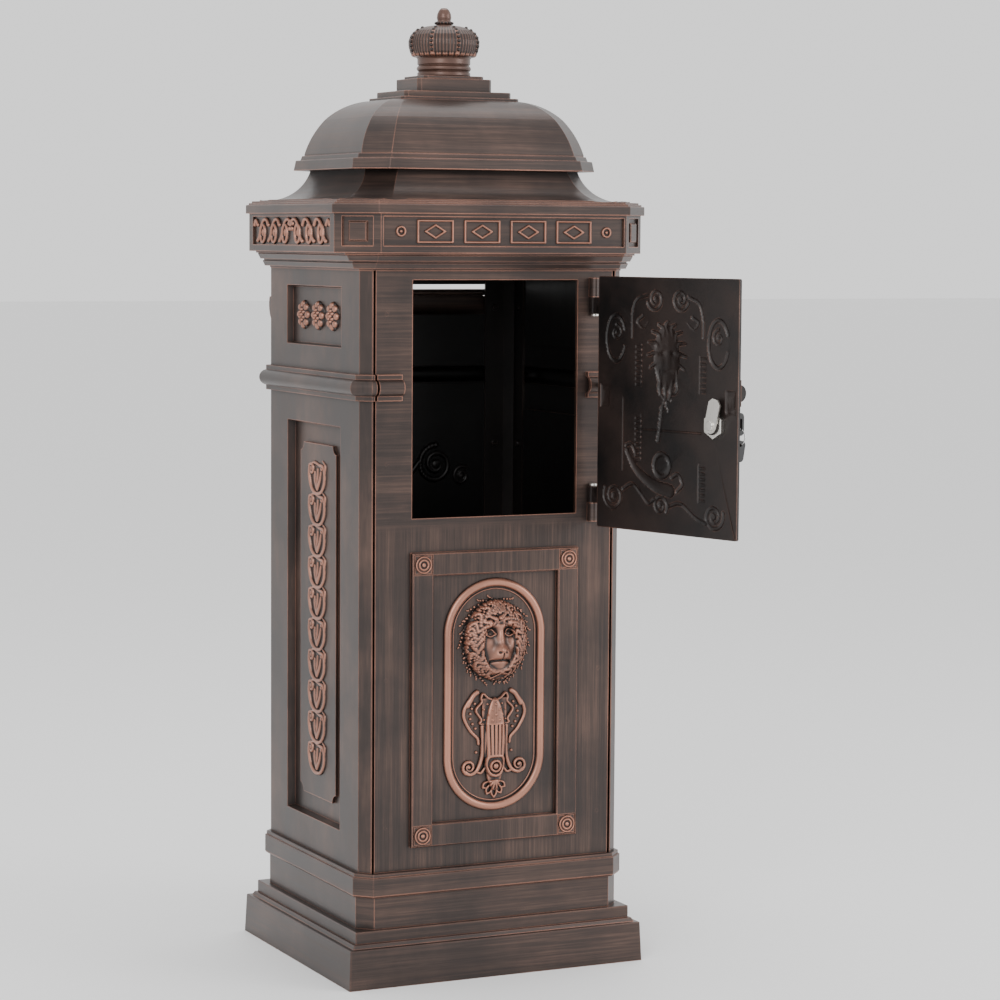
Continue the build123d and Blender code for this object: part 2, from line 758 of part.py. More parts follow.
def cornice():
    cyma_top = around(cyma_out, cyma_chamfer)
    cyma_low = (cyma_top[0] - 2.5, cyma_top[1] - 3.5, cyma_chamfer - 2)
    ovolo_top = around(ovolo_out, ovolo_chamfer)
    ovolo_low = (ovolo_top[0] - 3.5, ovolo_top[1] - 3.5, ovolo_chamfer - 3)
    frieze_size = around(frieze_out, frieze_chamfer)
    slab_size = around(crown_slab_out, frieze_chamfer)
    solid = block(cornice_foot, cyma_foot, (half_x + 0.8, half_y + 0.8, body_chamfer))
    solid += tier(cyma_foot, cyma_foot + cyma_height - 1.6, cyma_low, cyma_top)
    solid += block(ovolo_foot - 1.6, ovolo_foot, (cyma_top[0] - 1.5, cyma_top[1] - 1.5, cyma_chamfer))
    solid += tier(ovolo_foot, ovolo_foot + ovolo_height - 2, ovolo_low, ovolo_top)
    solid += block(frieze_foot - 2, frieze_foot, (ovolo_top[0] + 1.5, ovolo_top[1] + 1, ovolo_chamfer + 1))
    solid += block(frieze_foot, crown_slab_foot, frieze_size)
    solid += tier(crown_slab_foot, cap_foot, slab_size, slab_size, 1.2)
    for index in (1, 2):
        inset = index * cap_inset
        cap_size = (slab_size[0] - inset, slab_size[1] - inset, frieze_chamfer - 0.6 * inset)
        foot = cap_foot + (index - 1) * cap_step
        solid += tier(foot, foot + cap_step, cap_size, cap_size, 0.6)
    solid -= frieze_recesses(frieze_size)
    solid += corner_blocks(frieze_size)
    lower_room = (half_x - 1, half_y + 1, body_chamfer + 3)
    upper_room = (frieze_size[0] - 6.5, frieze_size[1] - 6.5, frieze_chamfer - 4)
    lower_hole = (half_x - ledge_width, half_y - ledge_width, corner_gusset)
    upper_hole = (half_x - roof_ledge_in[0], half_y - roof_ledge_in[1], skirt_top_chamfer + 2)
    solid -= block(cornice_foot + ledge, frieze_foot + 2, lower_room)
    solid -= block(frieze_foot + 1, skirt_foot - ledge, upper_room)
    solid -= block(cornice_foot - 1, cornice_foot + ledge + 1, lower_hole)
    solid -= block(skirt_foot - ledge - 1, skirt_foot + 1, upper_hole)
    for place in tab_places(cornice_foot - 1):
        solid -= place * bore(bolt_radius + thread_clearance, ledge + 2)
    for place in ring_places(*skirt_screw_point, skirt_foot - ledge - 1):
        solid -= place * bore(screw_radius + thread_clearance, ledge + 2)
    return solid


def frieze_band(width, depth):
    """Shallow recess or block for one face of the frieze, drawn standing at the origin."""
    return Box(width, 2 * depth, frieze_recess_height)


def frieze_recesses(size):
    """Recesses in the eight faces of the frieze."""
    middle = frieze_foot + frieze_height / 2 + 2
    tool = Part()
    for sign in (-1, 1):
        tool += Pos(0, sign * size[1], middle) * frieze_band(frieze_front_recess, frieze_recess_depth)
        tool += Pos(sign * size[0], 0, middle) * Rot(0, 0, 90) * frieze_band(frieze_side_recess, frieze_recess_depth)
    distance = corner_distance(*size)
    for turn in (45, 135, 225, 315):
        middle_of_corner = corner_face_shift(size)
        shift = middle_of_corner if turn in (45, 225) else -middle_of_corner
        band = frieze_band(frieze_corner_recess, frieze_recess_depth)
        tool += Rot(0, 0, turn) * Pos(distance, shift, middle) * Rot(0, 0, 90) * band
    return tool


def corner_face_shift(size):
    """How far the middle of a corner face lies from the 45 degree line through the axis."""
    return ((size[1] - size[2] / 2) - (size[0] - size[2] / 2)) / math.sqrt(2)


def corner_blocks(size):
    """Raised square blocks in the corner recesses of the frieze."""
    middle = frieze_foot + frieze_height / 2 + 2
    distance = corner_distance(*size)
    blocks = Part()
    for turn in (45, 135, 225, 315):
        shift = corner_face_shift(size) if turn in (45, 225) else -corner_face_shift(size)
        piece = chamfer(Box(4.0, corner_block, corner_block).faces().sort_by(Axis.X)[-1].edges(), 1.0)
        blocks += Rot(0, 0, turn) * Pos(distance - 1.6, shift, middle) * piece
    return blocks


def cornice_bolts():
    bolt = screw(bolt_radius, angle_thickness + ledge + nut_height, bolt_head_radius, bolt_head_height)
    return [place * bolt for place in tab_places(body_top - angle_thickness)]


def cornice_nuts():
    return [Pos(0, 0, cornice_foot - body_foot + nut_height + 2 * ledge) * nut for nut in floor_nuts()]


def skirt_outline(distance, which):
    """Hollow curve of the roof skirt, for side, front and corner walls."""
    foot_x, foot_y = half_x + skirt_foot_out[0], half_y + skirt_foot_out[1]
    top_x, top_y = half_x - skirt_top_in[0], half_y - skirt_top_in[1]
    foot_corner = corner_distance(foot_x, foot_y, skirt_foot_chamfer)
    top_corner = corner_distance(top_x, top_y, skirt_top_chamfer)
    foot_at = (foot_x, foot_y, foot_corner)[which]
    top_at = (top_x, top_y, top_corner)[which]
    lip = skirt_foot + skirt_lip
    middle = (foot_at - 0.707 * (foot_at - top_at), dome_foot - 0.707 * (dome_foot - lip))
    edge = Line((foot_at, skirt_foot), (foot_at, lip))
    hollow = ThreePointArc((foot_at, lip), middle, (top_at, dome_foot))
    return Wire([edge, hollow])


def roof_skirt():
    solid = eight_walls(skirt_outline, (0, 0, 0))
    low_size = (half_x - skirt_room_in[0], half_y - skirt_room_in[1], skirt_top_chamfer - 2)
    high_in = [inward + skirt_room_top_in for inward in skirt_top_in]
    high_size = (half_x - high_in[0], half_y - high_in[1], skirt_top_chamfer - 6)
    flange_foot = dome_foot - roof_flange
    room = loft([Pos(0, 0, skirt_foot - 0.01) * plan(*low_size), Pos(0, 0, flange_foot) * plan(*high_size)], ruled=True)
    solid -= room
    solid -= block(flange_foot - 1, dome_foot + 1, roof_opening)
    for place in ring_places(*skirt_screw_point, skirt_foot - 1):
        solid -= place * bore(screw_radius + thread_clearance, screw_bite + 2)
    for place in ring_places(*dome_screw_point, flange_foot - 1):
        solid -= place * bore(screw_radius + thread_clearance, roof_flange + 2)
    return solid


def skirt_screws():
    fixing = screw(screw_radius, ledge + screw_bite, screw_head_radius, screw_head_height)
    return [place * fixing for place in ring_places(*skirt_screw_point, skirt_foot - ledge)]


def dome_outline(inset):
    """Curve of the dome from its springing to its flat top, moved in by the wall for the inside."""
    def outline(distance, which):
        sizes_x = [half_x - inward for inward in dome_in]
        sizes_y = [half_y - inward - dome_front_in for inward in dome_in]
        corner = [corner_distance(x, y, c) for x, y, c in zip(sizes_x, sizes_y, dome_chamfers)]
        at = [size - inset for size in (sizes_x, sizes_y, corner)[which]]
        heights = [spring_height + dome_spring + rise - inset for rise in dome_rises]
        foot = Line((at[0], dome_foot + roof_flange), (at[0], heights[0]))
        lower = ThreePointArc((at[0], heights[0]), (at[1], heights[1]), (at[2], heights[2]))
        upper = ThreePointArc((at[2], heights[2]), (at[3], heights[3]), (at[4], heights[4]))
        return Wire([foot, lower, upper])
    return outline


def dome_cap():
    rim_size = (half_x - rim_in[0], half_y - rim_in[1], rim_chamfer)
    rim_top = (rim_size[0] - rim_batter, rim_size[1] - rim_batter, rim_chamfer)
    step_low = (rim_size[0] - rim_step_in, rim_size[1] - rim_step_in + 2, rim_chamfer - 3)
    step_high = (step_low[0] - 1.5, step_low[1] - 1.5, rim_chamfer - 3)
    rim_break = dome_foot + rim_height
    solid = tier(dome_foot, rim_break, rim_size, rim_top, 1.1)
    solid += tier(rim_break, spring_height, step_low, step_high, 0.8)
    solid += eight_walls(dome_outline(0), (0, 0, 0))
    solid -= eight_walls(dome_outline(dome_wall), (0, 0, 0))
    solid -= block(dome_foot - 1, dome_foot + roof_flange + 1, roof_opening)
    for place in ring_places(*dome_screw_point, dome_foot - 1):
        solid -= place * bore(screw_radius + thread_clearance, screw_bite + 1.5)
    return solid - Pos(0, 0, dome_top - 10) * bore(stud_radius + thread_clearance, 20)


def dome_screws():
    fixing = screw(screw_radius, roof_flange + screw_bite, screw_head_radius, screw_head_height)
    return [place * fixing for place in ring_places(*dome_screw_point, dome_foot - roof_flange)]


def finial_plinth():
    solid = Part()
    foot = dome_top
    for size_x, size_y, height in plinth_tiers:
        size = (size_x, size_y, plinth_chamfer)
        solid += tier(foot, foot + height, size, size, 0.7)
        foot += height
    return solid - Pos(0, 0, dome_top - 1) * bore(stud_radius + thread_clearance, crown_foot - dome_top + 2)


def crown_finial():
    """Closed crown on a ringed neck, with a knob: one turned outline."""
    neck = crown_neck_radius
    belly = crown_foot + crown_neck_height
    top = belly + crown_height
    sides = Curve() + [
        Line((0, crown_foot), (neck, crown_foot)),
        Line((neck, crown_foot), (neck, crown_foot + 4)),
        Line((neck, crown_foot + 4), (neck - 1.4, crown_foot + 5)),
        ThreePointArc((neck - 1.4, crown_foot + 5), (neck + 0.8, crown_foot + 8.5), (neck - 1.4, crown_foot + 12)),
        Line((neck - 1.4, crown_foot + 12), (neck, crown_foot + 13)),
        Line((neck, crown_foot + 13), (neck, belly)),
        Line((neck, belly), (neck + 2, belly)),
        ThreePointArc((neck + 2, belly), (crown_radius, belly + 14.5), (neck - 1, belly + 28)),
        ThreePointArc((neck - 1, belly + 28), (19, belly + 33), (knob_radius, top)),
        Line((knob_radius, top), (knob_radius + 1.4, top + 2)),
        Line((knob_radius + 1.4, top + 2), (knob_radius - 0.8, top + 5)),
        ThreePointArc((knob_radius - 0.8, top + 5), (knob_radius * 0.86, top + 13), (1.5, top + knob_height)),
        Line((1.5, top + knob_height), (0, top + knob_height)),
        Line((0, top + knob_height), (0, crown_foot)),
    ]
    solid = revolve(Plane.XZ * make_face(sides), Axis.Z)
    return solid - Pos(0, 0, crown_foot - 1) * bore(stud_radius + thread_clearance, 16)


def finial_stud():
    foot = dome_top - dome_wall - 11
    return Pos(0, 0, foot) * bore(stud_radius, crown_foot + 15 - foot)


def finial_washer():
    foot = dome_top - dome_wall - 1.6
    return Pos(0, 0, foot) * (bore(10, 1.6) - Pos(0, 0, -1) * bore(stud_radius + thread_clearance, 4))


def finial_nut():
    height = 6.4
    foot = dome_top - dome_wall - 1.6 - height
    hexagon = extrude(RegularPolygon(6.5, 6, major_radius=False), height)
    return Pos(0, 0, foot) * (hexagon - Pos(0, 0, -1) * bore(stud_radius + thread_clearance, height + 2))


def swing(piece):
    """Turns a piece of the closed door about the hinge to the open rest position."""
    return Pos(hinge_x, hinge_y, 0) * Rot(0, 0, door_rest_angle) * Pos(-hinge_x, -hinge_y, 0) * piece


def door_closed():
    (low_foot, low_top), (high_foot, high_top) = knuckle_heights()
    solid = span(door_left, door_right, door_outer, door_inner, door_foot, door_top)
    solid = fillet(solid.edges().filter_by(Axis.Y), 2.0)
    solid = chamfer(solid.faces().sort_by(Axis.Y)[0].edges(), 1.2)
    waist_low = waist_middle - waist_height / 2
    band = waist(0) & span(door_left, door_right - 2, -2 * half_y, door_outer + 0.5, waist_low, waist_low + waist_height)
    solid += band
    mask = Pos(0, door_mask_height, -0.5) * extrude(Ellipse(*door_mask_core), door_mask_proud + 0.5, taper=25)
    solid += Pos(0, door_outer + 0.01, 0) * Rot(90, 0, 0) * mask
    for foot in (low_top + 0.3, high_foot - 0.3 - door_knuckle):
        barrel = Pos(hinge_x, hinge_y, foot) * bore(knuckle_radius, door_knuckle)
        arm = span(door_right - 3, hinge_x, door_outer, door_inner - 1, foot, foot + door_knuckle)
        solid += barrel + arm
        solid -= Pos(hinge_x, hinge_y, foot - 1) * bore(hinge_pin_radius + fit, door_knuckle + 2)
    solid -= lock_axis(door_outer - 20) * bore(barrel_radius + fit, 40)
    return solid


def hinge_pin(upper):
    (low_foot, low_top), (high_foot, high_top) = knuckle_heights()
    if upper:
        head_top = high_foot - 0.3 - door_knuckle - 0.3
        shank_foot, shank_top = head_top, high_top - 2
        head_foot = head_top - hinge_head_height
    else:
        head_foot = low_top + 0.3 + door_knuckle + 0.3
        shank_foot, shank_top = low_foot + 2, head_foot
    shank = Pos(hinge_x, hinge_y, shank_foot) * bore(hinge_pin_radius, shank_top - shank_foot)
    head = Pos(hinge_x, hinge_y, head_foot) * bore(hinge_head_radius, hinge_head_height)
    return shank + fillet(head.edges(), 0.8)


def lock_axis(y):
    """Place on the lock's axis of the closed door; +Z of the place looks inwards along +Y."""
    return Pos(lock_x, y, lock_height) * Rot(-90, 0, 0)


def lock_barrel():
    flange = fillet(bore(barrel_flange_radius, barrel_flange).edges().group_by(Axis.Z)[0], 2.0)
    body_end = cam_front - 0.2
    body = bore(barrel_radius, body_end - lock_face)
    hole = Pos(0, 0, -1) * bore(plug_radius + fit, body_end - lock_face + 2)
    return lock_axis(lock_face) * (flange + body - hole)


def lock_nut():
    hexagon = extrude(RegularPolygon(lock_nut_width / 2, 6, major_radius=False), lock_nut_height)
    hexagon = chamfer(hexagon.edges().group_by(Axis.Z)[-1], 0.6)
    hole = Pos(0, 0, -1) * bore(barrel_radius + fit, lock_nut_height + 2)
    return lock_axis(door_inner) * Rot(0, 0, 30) * (hexagon - hole)


def lock_plug():
    face = lock_face - plug_proud
    plug = bore(plug_radius, cam_front - face)
    keyway = Pos(0, 0, key_reach / 2) * Box(key_thickness + 0.2, key_height + 0.2, key_reach + 0.6)
    square = Pos(0, 0, cam_front - face + cam_thickness / 2) * Rot(0, 0, -cam_lean) * Box(tang, tang, cam_thickness)
    hole = Pos(0, 0, cam_front - face + cam_thickness - 3.5) * bore(screw_radius * 0.8 + thread_clearance, 5)
    return lock_axis(face) * (plug - keyway + square - hole)


def lock_cam():
    half = cam_width / 2
    clip = half * 0.55
    tip = [(-half, cam_length - clip), (-half + clip, cam_length), (half - clip, cam_length), (half, cam_length - clip)]
    blade = make_face(Polyline((half, 0), (-half, 0), *tip, close=True)) + Circle(half)
    blade -= Rectangle(tang + 0.1, tang + 0.1)
    plate = extrude(blade, cam_thickness)
    return lock_axis(cam_front) * Rot(0, 0, 180 - cam_lean) * plate


def lock_cam_screw():
    fixing = screw(screw_radius * 0.8, 3.2, screw_head_radius + 0.8, 2.0)
    return lock_axis(cam_front + cam_thickness) * Rot(180, 0, 0) * fixing


def key_blade():
    """Blade of a key: tip along +Z, flat in the local YZ plane, shoulder end at the origin."""
    blade = Pos(0, 0, key_reach / 2) * Box(key_thickness, key_height, key_reach)
    blade = chamfer(blade.faces().sort_by(Axis.Z)[-1].edges().filter_by(Axis.X), 2.0)
    for index in range(4):
        cut = Pos(0, key_height / 2, key_reach - 4.5 - 2.8 * index) * Rot(45, 0, 0) * Box(4, 1.6, 1.6)
        blade -= cut
    return blade


def key_shoulder_piece():
    return Pos(0, 0, -key_shoulder / 2) * Box(key_thickness + 0.6, key_shoulder_height, key_shoulder)


def key_bow():
    """Plastic head of a key, from the origin along -Z, with a slot for the ring."""
    head = Box(key_head_thickness, key_head_height, key_head_length)
    head = fillet(head.edges().filter_by(Axis.X), 4.5)
    head = Pos(0, 0, -key_head_length / 2) * fillet(head.edges(), 0.9)
    slot = extrude(SlotOverall(*key_slot), key_head_thickness, both=True)
    return head - Pos(0, 0, -key_head_length + key_slot_inset) * Rot(0, 90, 0) * Rot(0, 0, 90) * slot


def inserted_key():
    face = lock_face - plug_proud
    blade = key_blade() + key_shoulder_piece()
    return lock_axis(face) * blade, lock_axis(face - key_shoulder) * key_bow()


def key_ring():
    """Thin wire ring through both key heads, in a plane parallel to the door."""
    centre = Pos(lock_x, slot_y, ring_top - ring_radius)
    return centre * Rot(90, 0, 0) * Torus(ring_radius, ring_wire)


def spare_key():
    """Second key hanging from the ring by the outer end of its slot."""
    pivot = (lock_x, slot_y, ring_top - 2 * ring_radius)
    hang = Pos(*pivot) * Rot(spare_lean, 0, 0)
    slot_end = key_slot[0] / 2 - key_slot[1] / 2
    slot_edge = key_slot[1] / 2 - ring_wire - ring_play
    drop = Pos(0, slot_end, -slot_edge - key_head_length + key_slot_inset) * Rot(180, 0, 0)
    blade = key_blade() + key_shoulder_piece()
    blade_at = hang * drop * Pos(0, 0, key_shoulder)
    return blade_at * blade, hang * drop * key_bow()


def write(node, piece):
    """Writes one node; a list becomes a group of separate solids."""
    shape = Compound(children=list(piece)) if isinstance(piece, list) else piece
    shape.label = node
    export_step(shape, f"parts/{node}.step")


def main():
    os.makedirs("parts", exist_ok=True)
    front, back, right = wall_castings()
    right_side = side_casting(right)
    blade, bow = inserted_key()
    spare_blade_piece, spare_bow = spare_key()
    nodes = {
        "ground_plate": ground_plate_piece(),
        "ground_plate_screws": ground_plate_screws(),
        "base_plinth": base_plinth(),
        "floor_plate": floor_plate(),
        "floor_bolts": floor_bolts(),
        "floor_nuts": floor_nuts(),
        "front_panel": front_panel(front),
        "back_panel": back_panel(back),
        "side_panel_right": right_side,
        "side_panel_left": mirror(right_side, Plane.YZ),
        "panel_screws": panel_screws(),
        "cornice": cornice(),
        "cornice_bolts": cornice_bolts(),
        "cornice_nuts": cornice_nuts(),
        "roof_skirt": roof_skirt(),
        "skirt_screws": skirt_screws(),
        "dome_cap": dome_cap(),
        "dome_screws": dome_screws(),
        "finial_plinth": finial_plinth(),
        "crown_finial": crown_finial(),
        "finial_stud": finial_stud(),
        "finial_washer": finial_washer(),
        "finial_nut": finial_nut(),
        "door": swing(door_closed()),
        "door_hinge_pin_upper": hinge_pin(True),
        "door_hinge_pin_lower": hinge_pin(False),
        "lock_barrel": swing(lock_barrel()),
        "lock_nut": swing(lock_nut()),
        "lock_plug": swing(lock_plug()),
        "lock_cam": swing(lock_cam()),
        "lock_cam_screw": swing(lock_cam_screw()),
        "key_blade": swing(blade),
        "key_head": swing(bow),
        "key_ring": swing(key_ring()),
        "spare_key_blade": swing(spare_blade_piece),
        "spare_key_head": swing(spare_bow),
        "mail_flap": mail_flap(),
        "flap_pins": flap_pins(),
    }
    for sign_x, sign_y in corners():
        name = f"corner_angle_{'front' if sign_y < 0 else 'back'}_{'left' if sign_x < 0 else 'right'}"
        nodes[name] = corner_angle(sign_x, sign_y)
    for node, piece in nodes.items():
        write(node, piece)


main()
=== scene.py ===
# %% [markdown]
# A cast pillar letterbox. The load-bearing castings, fasteners, lock and hinges come in as a fixed
# frame, already at their real size. This lesson dresses that frame: it gives every casting a rubbed
# bronze finish, and models the cast ornament, which is too fine for the frame. We start by loading
# the frame.

# %% Load the frame
import json
import math
import bpy
import numpy as np
from mathutils import Matrix, Vector


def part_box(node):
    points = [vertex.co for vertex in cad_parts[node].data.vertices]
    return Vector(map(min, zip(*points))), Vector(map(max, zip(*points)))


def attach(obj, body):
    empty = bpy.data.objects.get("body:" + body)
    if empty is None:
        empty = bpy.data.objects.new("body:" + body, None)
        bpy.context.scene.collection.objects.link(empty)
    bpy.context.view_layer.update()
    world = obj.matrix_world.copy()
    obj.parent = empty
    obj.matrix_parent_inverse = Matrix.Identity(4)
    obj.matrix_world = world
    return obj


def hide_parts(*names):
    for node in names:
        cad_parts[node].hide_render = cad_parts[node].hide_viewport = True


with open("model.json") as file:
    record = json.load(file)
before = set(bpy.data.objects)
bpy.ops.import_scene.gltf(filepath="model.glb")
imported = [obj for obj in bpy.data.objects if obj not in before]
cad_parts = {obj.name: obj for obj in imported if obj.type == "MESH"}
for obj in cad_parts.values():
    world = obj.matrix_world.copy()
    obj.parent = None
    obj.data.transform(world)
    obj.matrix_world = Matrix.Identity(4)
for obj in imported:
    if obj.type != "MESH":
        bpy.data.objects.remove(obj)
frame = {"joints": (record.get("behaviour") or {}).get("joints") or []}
joints = {joint["name"]: joint for joint in frame["joints"]}
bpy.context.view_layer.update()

# %% [markdown]
# Ornament is easiest to place when each face of the pillar has its own little drawing board: a centre,
# a direction to the right, a direction up, and a direction out of the face. The board's units are
# millimetres, because mouldings are drawn in millimetres, and one helper turns them into metres.

# %% Drawing boards
MM = 0.001


def corner_low(node):
    return [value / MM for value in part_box(node)[0]]


def corner_high(node):
    return [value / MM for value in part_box(node)[1]]


class Board:
    """A flat face to draw on: centre in millimetres, and its right, up and out directions."""

    def __init__(self, centre, right, up=(0, 0, 1)):
        self.centre = np.array(centre, float)
        self.right = np.array(right, float)
        self.up = np.array(up, float)
        self.out = np.cross(self.right, self.up)

    def place(self, across, upward, proud):
        flat = np.multiply.outer(across, self.right) + np.multiply.outer(upward, self.up)
        return (self.centre + flat + np.multiply.outer(proud, self.out)) * MM


body_high = corner_high("side_panel_right")
panel_low = corner_low("front_panel")
bead_crest = 12.0
side_face = body_high[0] - bead_crest
front_face = -panel_low[1] - bead_crest
print("side castings stand at", round(side_face, 1), "and the front at", round(front_face, 1))

# %% [markdown]
# The door is stored open, and its ornament is easier to think about on a closed door. The hinge joint
# of the frame says where the axis is, and how far the door has to turn back to close. A board for the
# door is therefore drawn closed, and then turned with the door about that axis.

# %% Boards that turn with the door
hinge = joints["door_hinge"]
hinge_at = np.array(hinge["pos_m"]) / MM
rest_angle = math.radians(-hinge["range_deg"][0])


def opened(point):
    """Where a point of the closed door lies when the door stands at rest."""
    offset = np.array(point, float) - hinge_at
    cosine, sine = math.cos(rest_angle), math.sin(rest_angle)
    turned = (cosine * offset[0] - sine * offset[1], sine * offset[0] + cosine * offset[1], offset[2])
    return hinge_at + np.array(turned)


def door_board(centre, right):
    """A board on the closed door, turned to the rest position."""
    start = opened(centre)
    direction = opened(np.array(centre, float) + np.array(right, float)) - start
    return Board(start, direction)


print("door stands open by", round(math.degrees(rest_angle)), "degrees")

# %% [markdown]
# Cast ornament in low relief can be carved like clay: take a fine grid and push its points outwards.
# The pushes are drawn with a few strokes: a rounded bar along a curve, a round stud, a ring, a spiral.
# A class keeps the height of every point while the strokes are laid one over another, and the highest
# stroke wins, as when a carver adds strips of clay. That is far quicker than boolean unions, and the
# result can be as fine as the grid.

# %% A clay slab and its strokes
def smooth_path(points, steps=12):
    """Rounded path through given points, by Catmull-Rom weights."""
    points = [np.array(point, float) for point in points]
    ends = [2 * points[0] - points[1]] + points + [2 * points[-1] - points[-2]]
    path = []
    for a, b, c, d in zip(ends, ends[1:], ends[2:], ends[3:]):
        for step in range(steps):
            t = step / steps
            path.append(0.5 * (2 * b + (c - a) * t + (2 * a - 5 * b + 4 * c - d) * t * t
                               + (3 * b - a - 3 * c + d) * t ** 3))
    return path + [points[-1]]


def spiral(centre, outer, inner, start, turns, steps=60):
    """Points of a spiral from its outer end to its eye; angles in degrees, turns may be negative."""
    path = []
    for step in range(steps + 1):
        share = step / steps
        radius = outer + (inner - outer) * share
        angle = math.radians(start + 360 * turns * share)
        path.append((centre[0] + radius * math.cos(angle), centre[1] + radius * math.sin(angle)))
    return path


class Clay:
    """Heights, in millimetres, over the points of a slab."""

    def __init__(self, across, upward, level=0.0):
        self.across = across
        self.upward = upward
        self.level = np.full(across.shape, float(level))

    def bar(self, path, radius, proud, taper=1.0, mirrored=False):
        """Rounded bar along a path; taper is the far end's share of the radius."""
        across = np.abs(self.across) if mirrored else self.across
        count = len(path)
        for index, (x, y) in enumerate(path):
            here = radius * (1 + (taper - 1) * index / max(count - 1, 1))
            near = (np.abs(across - x) < here) & (np.abs(self.upward - y) < here)
            if not near.any():
                continue
            gap = (across[near] - x) ** 2 + (self.upward[near] - y) ** 2
            swell = proud * here / radius * np.sqrt(np.clip(1 - gap / here ** 2, 0, 1))
            self.level[near] = np.maximum(self.level[near], swell)

    def stud(self, x, y, radius, proud, tall=None, mirrored=False):
        across = np.abs(self.across) if mirrored else self.across
        gap = ((across - x) / radius) ** 2 + ((self.upward - y) / (tall or radius)) ** 2
        self.level = np.maximum(self.level, proud * np.sqrt(np.clip(1 - gap, 0, 1)))

    def ring(self, x, y, radius, thick, proud):
        gap = (np.hypot(self.across - x, self.upward - y) - radius) / thick
        self.level = np.maximum(self.level, proud * np.sqrt(np.clip(1 - gap ** 2, 0, 1)))

    def pad(self, low_x, high_x, low_y, high_y, proud, mirrored=False, slope=1.2):
        across = np.abs(self.across) if mirrored else self.across
        inside = np.minimum(np.minimum(across - low_x, high_x - across),
                            np.minimum(self.upward - low_y, high_y - self.upward))
        self.level = np.maximum(self.level, proud * np.clip(inside / slope, 0, 1))


def crests(level, step):
    """1 where the clay stands above its surroundings, 0 in its grooves."""
    soft = np.pad(level, 1, mode="edge")
    for _ in range(int(6.0 / step ** 2)):
        soft[1:-1, 1:-1] = (soft[:-2, 1:-1] + soft[2:, 1:-1] + soft[1:-1, :-2] + soft[1:-1, 2:]) / 4
    high = 0.35 * level / max(level.max(), 0.001)
    return np.clip(0.28 + high + 0.6 * (level - soft[1:-1, 1:-1]), 0, 1) * np.clip(level / 0.6, 0, 1)


def carve(name, board, width, height, step, draw, sunk=0.6, keep_flat=False):
    """Makes a grid on a board and pushes it out as draw(clay) says. Flat clay is cut away."""
    columns, rows = round(width / step), round(height / step)
    bpy.ops.object.select_all(action="DESELECT")
    bpy.ops.mesh.primitive_grid_add(x_subdivisions=columns, y_subdivisions=rows, size=1)
    piece = bpy.context.object
    piece.name = piece.data.name = name
    points = np.empty(len(piece.data.vertices) * 3)
    piece.data.vertices.foreach_get("co", points)
    points = points.reshape(-1, 3)
    clay = Clay(points[:, 0] * width, points[:, 1] * height)
    draw(clay)
    level = clay.level
    flat = np.abs(level) < 0.02
    placed = board.place(clay.across, clay.upward, np.where(flat, level if keep_flat else -sunk, level))
    piece.data.vertices.foreach_set("co", placed.ravel())
    raised = piece.data.attributes.new("raised", "FLOAT", "POINT")
    raised.data.foreach_set("value", crests(level.reshape(rows + 1, columns + 1), step).ravel())
    if not keep_flat:
        cut_flat(piece, flat.reshape(rows + 1, columns + 1))
    bpy.ops.object.shade_smooth()
    return piece


def cut_flat(piece, flat):
    """Deletes the points of a slab that lie at least one point away from any raised clay."""
    lonely = flat.copy()
    lonely[1:] &= flat[:-1]
    lonely[:-1] &= flat[1:]
    lonely[:, 1:] &= flat[:, :-1]
    lonely[:, :-1] &= flat[:, 1:]
    select_points(piece, lonely.ravel())
    bpy.ops.mesh.delete(type="VERT")
    bpy.ops.object.mode_set(mode="OBJECT")


def select_points(piece, chosen):
    """Goes into edit mode with just the chosen points selected."""
    bpy.context.view_layer.objects.active = piece
    piece.select_set(True)
    bpy.context.tool_settings.mesh_select_mode = (True, False, False)
    mesh = piece.data
    mesh.polygons.foreach_set("select", np.zeros(len(mesh.polygons), bool))
    mesh.edges.foreach_set("select", np.zeros(len(mesh.edges), bool))
    mesh.vertices.foreach_set("select", chosen.astype(bool))
    bpy.ops.object.mode_set(mode="EDIT")


dressed = []


def dress(piece, body):
    """Lets a finished piece ride on a body of the frame and adds it to the list of dressed pieces."""
    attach(piece, body)
    dressed.append(piece)
    print(piece.name, "has", len(piece.data.polygons), "faces")
    return piece


# %% [markdown]
# The mask on the lower panel is a lion's head. It is one cushion of clay with the face pushed in and
# out of it: muzzle, nose, brows, eye hollows, cheeks and chin are soft mounds. The mane is three
# rings of tapering bars, each bent like a lock of hair, and it is laid over the edge of the cushion
# so that the outline is ragged, as on the casting.

# %% Lion mask
def mound(clay, x, y, wide, tall, height):
    """Soft bump or hollow added to the clay."""
    return height * np.exp(-((clay.across - x) / wide) ** 2 - ((clay.upward - y) / tall) ** 2)


def both(clay, x, y, wide, tall, height):
    return mound(clay, x, y, wide, tall, height) + mound(clay, -x, y, wide, tall, height)


